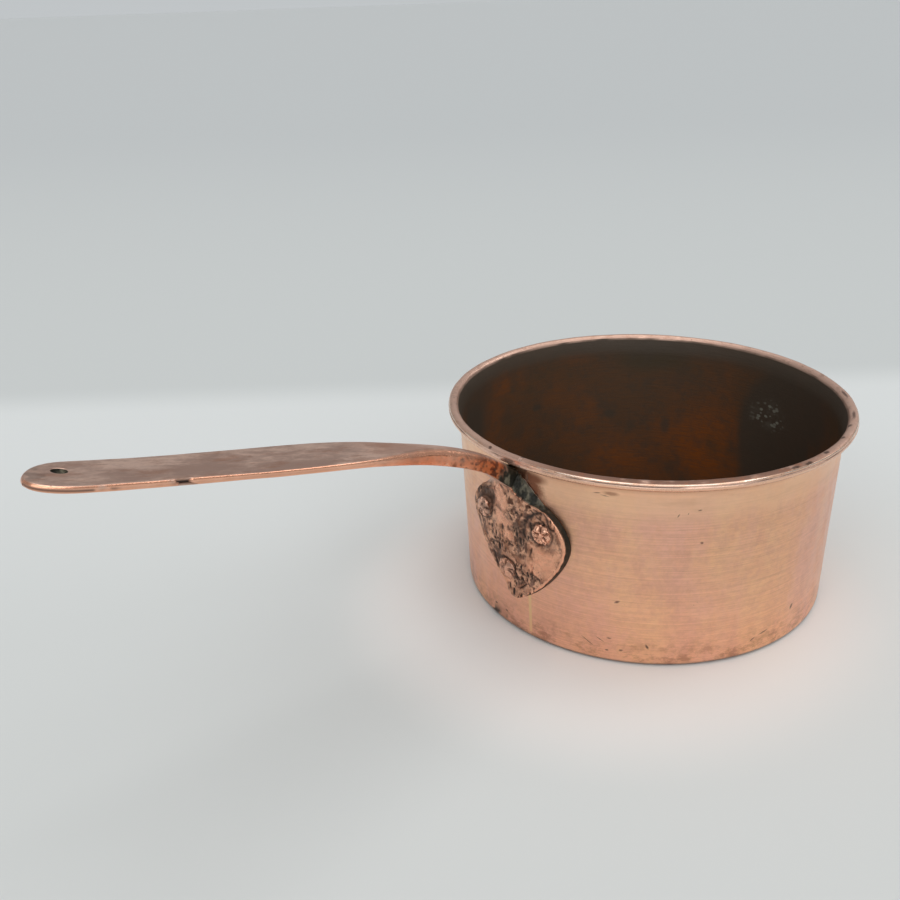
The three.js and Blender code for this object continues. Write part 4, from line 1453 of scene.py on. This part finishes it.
def patch(tree, azimuth, height, length, width, radius=96.0, ragged=0.3, core=0.3):
    """A ragged patch on the wall, longer round the pot than up it, in degrees and millimetres."""
    values = {"Place": around_pot(azimuth, height, radius), "Along": level_line(azimuth), "Core": core}
    values.update(Length=length * MM, Width=width * MM, Ragged=ragged * width * MM, Grain=600.0 / width)
    return effect(tree, "Marks", **values)


def nick(tree, azimuth, height, length, lean=0.0, width=0.5):
    """A short scratch on the outside of the wall, turned by a lean in degrees from the level."""
    turned = math.radians(lean)
    level = level_line(azimuth)
    along = (level[0] * math.cos(turned), level[1] * math.cos(turned), math.sin(turned))
    radius = 95.3 + 0.0386 * height
    values = {"Place": around_pot(azimuth, height, radius), "Along": along, "Core": 0.2, "Grain": 900.0}
    values.update(Length=length * MM, Width=width * MM, Ragged=0.6 * width * MM)
    return effect(tree, "Marks", **values)


def wall_stains_and_shade(tree, height):
    """Where the wall is brown, with painted shade: stains, a band of painted shade under the rim, and stain
    with painted shadow beside the neck, which is also returned alone.
    """
    broken = cloud(tree, 95.0, 0.44, 0.64, (1.0, 1.0, 1.6), 0.75)
    smears = cloud(tree, 34.0, 0.5, 0.72, (1.0, 1.0, 5.0))
    foot = scaled(tree, ramped(tree, height, 22 * MM, 2 * MM), broken)
    shoulder = patch(tree, -150.0, 92.6, 5, 1.8, 98.6, ragged=0.8)
    # Beside the neck: brown stain, with painted shadow under the rim and along the neck's root
    neck_stain_and_shadow = nick(tree, -172.4, 87.0, 11, -55, 6.5)
    neck_stain_and_shadow = most(tree, neck_stain_and_shadow, patch(tree, -173.0, 91.6, 11, 4.6, 98.0, ragged=0.7))
    # Painted shade: a darker band just under the rim's bead
    under_rim_shade = ramped(tree, height, 99 * MM, 97.5 * MM)
    under_rim_shade = scaled(tree, ramped(tree, height, 93 * MM, 96.5 * MM), under_rim_shade)
    high = scaled(tree, scaled(tree, ramped(tree, height, 78 * MM, 92 * MM), smears), 0.16)
    brown = (
        scaled(tree, foot, 0.55),
        scaled(tree, shoulder, 0.6),
        scaled(tree, neck_stain_and_shadow, 0.95),
        high,
        scaled(tree, under_rim_shade, 0.4),
        mask(tree, "stain"),
    )
    return most(tree, *brown), neck_stain_and_shadow


def rim_finish(tree, tint, tone, height):
    """The rolled rim over the wall's colour: dulled and flecked, polished in a line with a painted highlight,
    and darkened on top with painted shade.
    """
    flecks = cloud(tree, 190.0, 0.5, 0.68, (1.0, 1.0, 2.2), 0.75)
    flecked = mixed(tree, scaled(tree, flecks, 0.38), tint.rim_copper, tint.stain)
    bead = ramped(tree, height, 97.2 * MM, 98.2 * MM)
    polish_and_highlight = mask(tree, "polish_and_highlight")
    dulled = math_node(tree, "SUBTRACT", scaled(tree, bead, 0.9), scaled(tree, polish_and_highlight, 0.75), clamp=True)
    crowned = mixed(tree, flecks, tint.painted_rim_top_shade, tint.stain)
    # Painted highlight on the polished line round the rim
    layers = (dulled, 1, flecked), (ramped(tree, polish_and_highlight, 0.82, 0.95), 0.9, tint.painted_rim_highlight)
    return layered(tree, tone, *layers, (mask(tree, "crown"), 1, crowned)), dulled, flecks


def outside_copper(tree, tint):
    """Colour of the rubbed outside and its dark spots, level lines, specks, clouds, dull rim and flecks, with
    painted light: a brighter top, a rose reflection on the right, and painted shade at the foot and under the
    rim.
    """
    blotch = cloud(tree, 24.0, 0.38, 0.62, (1.0, 1.0, 0.4), 0.7)
    bruise = cloud(tree, 48.0, 0.5, 0.7, (1.0, 1.0, 0.7), 0.75)
    fine = cloud(tree, 90.0, 0.4, 0.6, (1.0, 1.0, 0.5), 0.75)
    grain = cloud(tree, 240.0, 0.4, 0.64, (1.0, 1.0, 1.7), 0.7)
    lines = cloud(tree, 11.0, 0.36, 0.66, (1.0, 1.0, 115.0), 0.8)
    dashes = cloud(tree, 70.0, 0.5, 0.7, (1.0, 1.0, 22.0), 0.8)
    specks = effect(tree, "Pits", Scale=330.0, Patch_scale=40.0, Low=0.55, High=0.95)
    height = axis(tree, 2)
    # Painted reflection: a wide patch on the pot's right side is coloured rose, standing in for the paler
    # light it reflects
    right = patch(tree, -68.0, 55.0, 42, 90, ragged=0.2, core=0.1)
    brown, neck_stain_and_shadow = wall_stains_and_shade(tree, height)
    layers = (
        (fine, 0.42, tint.copper),
        (bruise, 0.6, tint.bruise),
        (grain, 0.36, tint.bruise),
        (math_node(tree, "SUBTRACT", 1.0, lines), 0.18, tint.stain),
        (dashes, 0.15, tint.stain),
        # painted light, brighter towards the top of the wall
        (ramped(tree, height, 74 * MM, 89 * MM), 0.6, tint.painted_top_light),
        (brown, 1, tint.stain),
        (neck_stain_and_shadow, 0.4, tint.scorch),
    )
    tone = layered(tree, mixed(tree, most(tree, blotch, right), tint.tan, tint.rose), *layers)
    tone, dulled, flecks = rim_finish(tree, tint, tone, height)
    nicks = most(tree, *(nick(tree, *values) for values in OUTSIDE_NICKS))
    nicks = most(tree, nicks, *(patch(tree, *values, ragged=0.8, core=0.35) for values in RIM_NICKS))
    # Painted shadow: the wall darkens along its bottom edge, where it meets the floor
    edge = ramped(tree, height, 2.6 * MM, 0.6 * MM)
    dark = most(tree, scaled(tree, specks, 0.5), scaled(tree, nicks, 0.85), scaled(tree, edge, 0.75))
    # the rim's painted crease shade is laid on here along with the crust
    dark = most(tree, dark, mask(tree, "crust"), scaled(tree, mask(tree, "crease_shade"), 0.95))
    return mixed(tree, dark, tone, tint.pit), dark, lines, specks, fine, dulled, flecks


def inside_copper(tree, tint):
    """Colour of the browned inside: reddish, olive and black clouds, grey specks and level scratches."""
    warm = cloud(tree, 20.0, 0.42, 0.66, (1.0, 1.0, 0.8))
    black = cloud(tree, 26.0, 0.5, 0.74, (1.0, 1.0, 0.8), 0.65)
    grain = cloud(tree, 110.0, 0.35, 0.7, (1.0, 1.0, 9.0), 0.75)
    mottle = cloud(tree, 85.0, 0.45, 0.66, roughness=0.7)
    faint = patch(tree, 95.0, 85.0, 20, 12, ragged=0.6)
    faint = most(tree, faint, patch(tree, 66.0, 91.0, 17, 7, ragged=0.6))
    low = patch(tree, 44.0, 16.0, 50, 30, ragged=0.9, core=0.1)
    red = patch(tree, 18.0, 35.0, 46, 42, ragged=0.9, core=0.1)
    red = most(tree, red, scaled(tree, faint, 0.2), scaled(tree, low, 0.65))
    soot = patch(tree, -14.0, 52.0, 32, 56, ragged=0.25, core=0.75)
    for place in ((-28.0, 80.0, 34, 34), (120.0, 72.0, 26, 30)):
        soot = most(tree, soot, patch(tree, *place, ragged=0.6))
    specks = effect(tree, "Pits", Scale=260.0, Stretch=(1.0, 1.0, 1.5), Patch_scale=90.0, Low=0.3, High=0.55)
    grey = patch(tree, -9.3, 66.5, 18, 11, ragged=0.7)
    grey = scaled(tree, grey, most(tree, specks, scaled(tree, mottle, 0.22)))
    layers = (
        (red, 0.95, tint.russet),
        (patch(tree, 36.0, 90.0, 34, 16, ragged=0.6), 0.8, tint.olive),
        (black, 0.6, tint.olive),
        (soot, 0.9, tint.soot),
        (ramped(tree, axis(tree, 2), 86 * MM, 96 * MM, 0.0, 0.9), 1, tint.soot),
        (most(tree, *(patch(tree, *place) for place in INSIDE_SPOTS)), 0.7, tint.soot),
        (mottle, 0.5, tint.soot),
        (grey, 0.8, tint.scale),
        (grain, 0.45, tint.soot),
    )
    return layered(tree, mixed(tree, scaled(tree, warm, 0.3), tint.brown, tint.russet), *layers), grain


def pan_copper(tint):
    """Rubbed copper outside and browned copper inside, told apart by the painted inside mask."""
    made, tree = material("pan_copper")
    tone, dark, lines, specks, fine, dulled, flecks = outside_copper(tree, tint)
    deep, grain = inside_copper(tree, tint)
    inside, crown = mask(tree, "inside"), mask(tree, "crown")
    base = mixed(tree, inside, tone, deep)
    bare = uncovered(tree, inside, dark, scaled(tree, crown, 0.9))
    rough = ramped(tree, fine, 0.0, 1.0, 0.3, 0.4)
    rough = math_node(tree, "SUBTRACT", rough, scaled(tree, mask(tree, "polish_and_highlight"), 0.14))
    rough = most(tree, rough, scaled(tree, dulled, 0.42), scaled(tree, inside, 0.52))
    rough = most(tree, rough, scaled(tree, crown, 0.6))
    hollows = most(tree, scaled(tree, specks, 0.8), scaled(tree, flecks, dulled))
    relief = math_node(tree, "SUBTRACT", scaled(tree, lines, 0.3), hollows)
    height = math_node(tree, "SUBTRACT", relief, scaled(tree, scaled(tree, grain, inside), 0.4))
    finish_material(tree, base, bare, rough, height, 0.25, **{"Specular IOR Level": 0.2})
    return made


def forged_copper(tint):
    """Dull, pitted forged copper with bright worn edges and painted highlights, heated sides, dark pits and
    painted shade, and green-black crust.
    """
    made, tree = material("forged_copper")
    streaks = cloud(tree, 26.0, 0.38, 0.62, (1.0, 2.6, 2.6), 0.7)
    flecks = cloud(tree, 150.0, 0.42, 0.66, (1.0, 2.2, 1.0), 0.7)
    swirl = cloud(tree, 75.0, 0.5, 0.64, (0.5, 2.2, 2.2), 0.75)
    gritty = cloud(tree, 300.0, 0.43, 0.57, roughness=0.7)
    broad = cloud(tree, 120.0, 0.42, 0.62, roughness=0.7)
    scaly = cloud(tree, 360.0, 0.46, 0.6)
    pits = effect(tree, "Pits", Scale=560.0, Patch_scale=50.0, Low=0.5, High=0.85)
    sharp = effect(tree, "Pits", Scale=480.0, Stretch=(1.0, 1.3, 0.7), Patch_scale=95.0, Low=0.42, High=0.72)
    palm, worn, crust = mask(tree, "palm"), mask(tree, "worn"), mask(tree, "stain")
    grit = mixed(tree, gritty, tint.palm_dark, tint.palm_light)
    near_root = ramped(tree, axis(tree, 0), -170 * MM, -112 * MM, 0.35, 1.0)
    hot = mixed(tree, scaled(tree, scaly, near_root), tint.orange, tint.scorch)
    sharp = scaled(tree, sharp, palm)
    sharp = math_node(tree, "SUBTRACT", sharp, scaled(tree, worn, 0.7), clamp=True)
    dark = most(tree, scaled(tree, pits, 0.5), mask(tree, "pitted"), scaled(tree, sharp, 0.9))
    mould = cloud(tree, 300.0, 0.45, 0.66, (1.0, 1.0, 0.6))
    mould = scaled(tree, mould, ramped(tree, axis(tree, 2), 74 * MM, 84 * MM, 0.1, 1.0))
    layers = (
        (swirl, 0.55, tint.palm),
        (palm, 1, mixed(tree, scaled(tree, broad, 0.75), grit, tint.palm)),
        (flecks, 0.4, tint.forged_dark),
        (mask(tree, "heated"), 1, hot),
        (worn, 1, tint.bright),
        (dark, 1, tint.pit),
        (crust, 1, mixed(tree, mould, tint.crust_dark, tint.crust)),
    )
    tone = layered(tree, mixed(tree, scaled(tree, streaks, 0.85), tint.forged, tint.forged_dark), *layers)
    rough = ramped(tree, worn, 0.0, 1.0, 0.44, 0.23)
    height = math_node(tree, "SUBTRACT", scaled(tree, flecks, 0.35), pits)
    for rise, where, share in ((mould, crust, 1.5), (gritty, palm, 0.9)):
        height = math_node(tree, "ADD", height, scaled(tree, scaled(tree, rise, where), share))
    bare = uncovered(tree, crust, dark)
    finish_material(tree, tone, bare, rough, height, 0.35, **{"Specular IOR Level": 0.3})
    return made


def iron_wire(tint):
    """Dull drawn iron with soft clouds of soot and small pits."""
    made, tree = material("iron_wire")
    patches = cloud(tree, 120.0, 0.4, 0.7)
    pits = effect(tree, "Pits", Scale=900.0, Patch_scale=120.0, Low=0.55, High=0.85)
    base = mixed(tree, patches, tint.iron, tint.soot)
    height = math_node(tree, "SUBTRACT", patches, pits)
    rough = ramped(tree, patches, 0.0, 1.0, 0.55, 0.67)
    finish_material(tree, base, 1.0, rough, height, 0.2)
    return made


def seam_brass(tint):
    """Pale brass that shows near the foot, and is rubbed over with copper and stains towards the rim, where
    it takes the rim's painted shade.
    """
    made, tree = material("seam_brass")
    patches = cloud(tree, 120.0, 0.4, 0.7)
    dark = cloud(tree, 260.0, 0.4, 0.62)
    height = axis(tree, 2)
    stained = scaled(tree, ramped(tree, height, 84 * MM, 92 * MM), dark)
    inside = mask(tree, "inside")
    layers = (
        (ramped(tree, height, 24 * MM, 34 * MM), 1, tint.copper),
        (ramped(tree, height, 76 * MM, 86 * MM, 0.0, 0.9), 1, tint.stain),
        # At the rim the seam takes the rim's copper and the painted shade of its top
        (ramped(tree, height, 97.2 * MM, 98.2 * MM), 1, mixed(tree, dark, tint.rim_copper, tint.painted_rim_top_shade)),
        (stained, 0.8, tint.pit),
        (inside, 1, mixed(tree, dark, tint.brown, tint.soot)),
    )
    tone = layered(tree, mixed(tree, scaled(tree, patches, 0.4), tint.braze, tint.copper), *layers)
    finish_material(tree, tone, uncovered(tree, stained, inside), 0.36, patches, 0.15)
    return made


def floor_stone(tint):
    """The pale floor, with a painted pool of light round the pot where the copper would throw light, in bands
    that change with the way back over it.
    """
    made, tree = material("studio_floor")
    place = put(tree, "ShaderNodeTexCoord").outputs["Object"]
    depth = put(tree, "ShaderNodeVectorMath", {0: place, 1: BACKWARD}, operation="DOT_PRODUCT")
    depth = depth.outputs["Value"]
    links = {0: object_place(tree, (1.0, 1.0, 1.0)), 1: PAINTED_GLOW_MIDDLE}
    away = put(tree, "ShaderNodeVectorMath", links, operation="DISTANCE").outputs["Value"]
    layers = (
        # painted pool of light from the copper, brighter close to the pot
        (ramped(tree, away, 152 * MM, 98 * MM), 1, tint.pool),
        (ramped(tree, depth, 0.25, 0.315), 1, tint.backdrop),
        (ramped(tree, depth, 0.3, 2.2), 1, tint.far_backdrop),
    )
    base = layered(tree, mixed(tree, ramped(tree, depth, -0.15, 0.24), tint.floor, tint.back_floor), *layers)
    links = {"Base Color": base, "Roughness": 0.7, "Specular IOR Level": 0.1}
    shader = put(tree, "ShaderNodeBsdfPrincipled", links)
    put(tree, "ShaderNodeOutputMaterial", {"Surface": shader.outputs[0]})
    return made


# The stage


def add_floor(scene, tint):
    """A wide, flat floor under the pot."""
    far = FLOOR_REACH
    corners = [(-far, -far, 0), (far, -far, 0), (far, far, 0), (-far, far, 0)]
    mesh = bpy.data.meshes.new("studio_floor")
    mesh.from_pydata(corners, [], [(0, 1, 2, 3)])
    floor = bpy.data.objects.new("studio_floor", mesh)
    scene.collection.objects.link(floor)
    mesh.materials.append(floor_stone(tint))


def add_camera(scene):
    """The camera at the photograph's place."""
    camera = bpy.data.cameras.new("studio_camera")
    camera.sensor_width, camera.lens = SENSOR_WIDTH, LENS
    camera.shift_y = SHIFT_PIXELS / PICTURE_PIXELS
    camera.clip_start, camera.clip_end = 0.01, 200
    seen = bpy.data.objects.new("studio_camera", camera)
    turned = Matrix((CAMERA_RIGHT, CAMERA_UP, CAMERA_BACK)).transposed().to_4x4()
    seen.matrix_world = Matrix.Translation(CAMERA_PLACE) @ turned
    scene.collection.objects.link(seen)
    scene.camera = seen


def add_room(scene, tint):
    """The room's even light, and the paler haze that the camera sees."""
    world = bpy.data.worlds.new("studio_world")
    scene.world = world
    world.use_nodes = True
    tree = world.node_tree
    tree.nodes.clear()
    ray = put(tree, "ShaderNodeLightPath").outputs["Is Camera Ray"]
    sky = put(tree, "ShaderNodeBackground", {"Color": mixed(tree, ray, tint.room, tint.haze)})
    put(tree, "ShaderNodeOutputWorld", {"Surface": sky.outputs[0]})


def add_light(scene, name, towards, spread, strength):
    """A wide, distant light that shines from a direction."""
    light = bpy.data.lights.new(name, "SUN")
    light.angle, light.energy = math.radians(spread), strength
    lamp = bpy.data.objects.new(name, light)
    lamp.matrix_world = Vector(towards).to_track_quat("Z", "Y").to_matrix().to_4x4()
    scene.collection.objects.link(lamp)


# Operators


class PAN_OT_body(bpy.types.Operator):
    """Builds the pot's wall with its rolled rim and turned-in foot"""

    bl_idname = "pan.body"
    bl_label = "Pot wall"

    def execute(self, context):
        body = context.scene.pan_body
        shape = pot_wall_shape(body)
        masks = wall_wear(shape, body)
        copper = pan_copper(context.scene.pan_colours)
        shape.build("copper_wall", copper, "pot_wall", "copper", masks)
        return {"FINISHED"}


class PAN_OT_seam(bpy.types.Operator):
    """Builds the brazed seam in the wall"""

    bl_idname = "pan.seam"
    bl_label = "Side seam"

    def execute(self, context):
        body = context.scene.pan_body
        brass = seam_brass(context.scene.pan_colours)
        shape = seam_shape(body)
        shape.build("brazed_seam", brass, "side_seam_braze", "braze", {"inside": inside_of(shape, body)})
        return {"FINISHED"}


class PAN_OT_base(bpy.types.Operator):
    """Builds the cramped base and its brazed line"""

    bl_idname = "pan.base"
    bl_label = "Base"

    def execute(self, context):
        body = context.scene.pan_body
        copper, brass = (bpy.data.materials[name] for name in ("pan_copper", "seam_brass"))
        shape = base_shape(body)
        inside = inside_of(shape, body)
        none = np.zeros(len(inside))
        masks = {"inside": inside, **dict.fromkeys(("stain", "crust", "crease_shade", "polish_and_highlight", "crown"), none)}
        shape.build("copper_base", copper, "pot_base", "copper", masks)
        shape = base_braze_shape(body)
        shape.build("brazed_cramps", brass, "base_seam_braze", "braze", {"inside": inside_of(shape, body)})
        return {"FINISHED"}


class PAN_OT_wire(bpy.types.Operator):
    """Builds the wire inside the rim"""

    bl_idname = "pan.wire"
    bl_label = "Rim wire"

    def execute(self, context):
        iron = iron_wire(context.scene.pan_colours)
        wire_shape(context.scene.pan_body).build("rim_wire_ring", iron, "rim_wire", "wire")
        return {"FINISHED"}


class PAN_OT_handle(bpy.types.Operator):
    """Builds the forged handle with its neck, palm and hanging hole"""

    bl_idname = "pan.handle"
    bl_label = "Handle"

    def execute(self, context):
        body, handle = context.scene.pan_body, context.scene.pan_handle
        shape = handle_shape(handle, body).weld()
        masks = worked_handle(shape, handle, body)
        forged = forged_copper(context.scene.pan_colours)
        shape.build("forged_handle", forged, "handle", "handle_copper", masks)
        return {"FINISHED"}


class PAN_OT_rivets(bpy.types.Operator):
    """Builds the three rivets"""

    bl_idname = "pan.rivets"
    bl_label = "Rivets"

    def execute(self, context):
        body, handle = context.scene.pan_body, context.scene.pan_handle
        forged = bpy.data.materials["forged_copper"]
        for seed, (name, (across, height)) in enumerate(RIVETS.items()):
            shape = rivet_shape(handle, body, across, height, 3 * seed + 61)
            crack, is_tail, lumps = shape.marks
            dirty = RIVET_DIRT[name]
            masks = {
                "worn": 0.25 + 0.6 * is_tail * (1 - dirty),
                "pitted": np.clip(0.95 * crack + dirty * smooth(-lumps, -0.3, 0.5) * is_tail, 0, 1),
                "stain": 0 * lumps,
            }
            shape.build(f"copper_{name}", forged, name, "rivet_copper", masks)
        return {"FINISHED"}


class PAN_OT_studio(bpy.types.Operator):
    """Sets up the pale floor, the soft lights and the camera"""

    bl_idname = "pan.studio"
    bl_label = "Studio"

    def execute(self, context):
        scene = context.scene
        add_floor(scene, scene.pan_colours)
        add_camera(scene)
        add_room(scene, scene.pan_colours)
        for light in LIGHTS:
            add_light(scene, *light)
        scene.view_settings.view_transform = "Standard"
        return {"FINISHED"}


class PAN_PT_build(bpy.types.Panel):
    """Lists the saucepan's pieces, sizes and colours in the sidebar"""

    bl_label = "Copper saucepan"
    bl_space_type = "VIEW_3D"
    bl_region_type = "UI"
    bl_category = "Saucepan"

    def draw(self, context):
        for operator in OPERATORS:
            self.layout.operator(operator.bl_idname)
        for group_name in ("pan_body", "pan_handle", "pan_colours"):
            settings = getattr(context.scene, group_name)
            box = self.layout.box()
            for key in settings.bl_rna.properties.keys():
                if key not in ("rna_type", "name"):
                    box.prop(settings, key)


OPERATORS = (
    PAN_OT_studio,
    PAN_OT_body,
    PAN_OT_seam,
    PAN_OT_base,
    PAN_OT_wire,
    PAN_OT_handle,
    PAN_OT_rivets,
)
CLASSES = (PanBodySizes, PanHandleSizes, PanColours, *OPERATORS, PAN_PT_build)


def register():
    """Registers the classes and the property groups."""
    for made in CLASSES:
        bpy.utils.register_class(made)
    bpy.types.Scene.pan_body = PointerProperty(type=PanBodySizes)
    bpy.types.Scene.pan_handle = PointerProperty(type=PanHandleSizes)
    bpy.types.Scene.pan_colours = PointerProperty(type=PanColours)


def unregister():
    """Takes the classes and the property groups away again."""
    for key in ("pan_body", "pan_handle", "pan_colours"):
        delattr(bpy.types.Scene, key)
    for made in reversed(CLASSES):
        bpy.utils.unregister_class(made)


def main():
    register()
    clouds_group()
    pits_group()
    marks_group()
    for operator in OPERATORS:
        call = operator.bl_idname.split(".")[1]
        getattr(bpy.ops.pan, call)()
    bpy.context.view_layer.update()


if __name__ == "__main__":
    main()
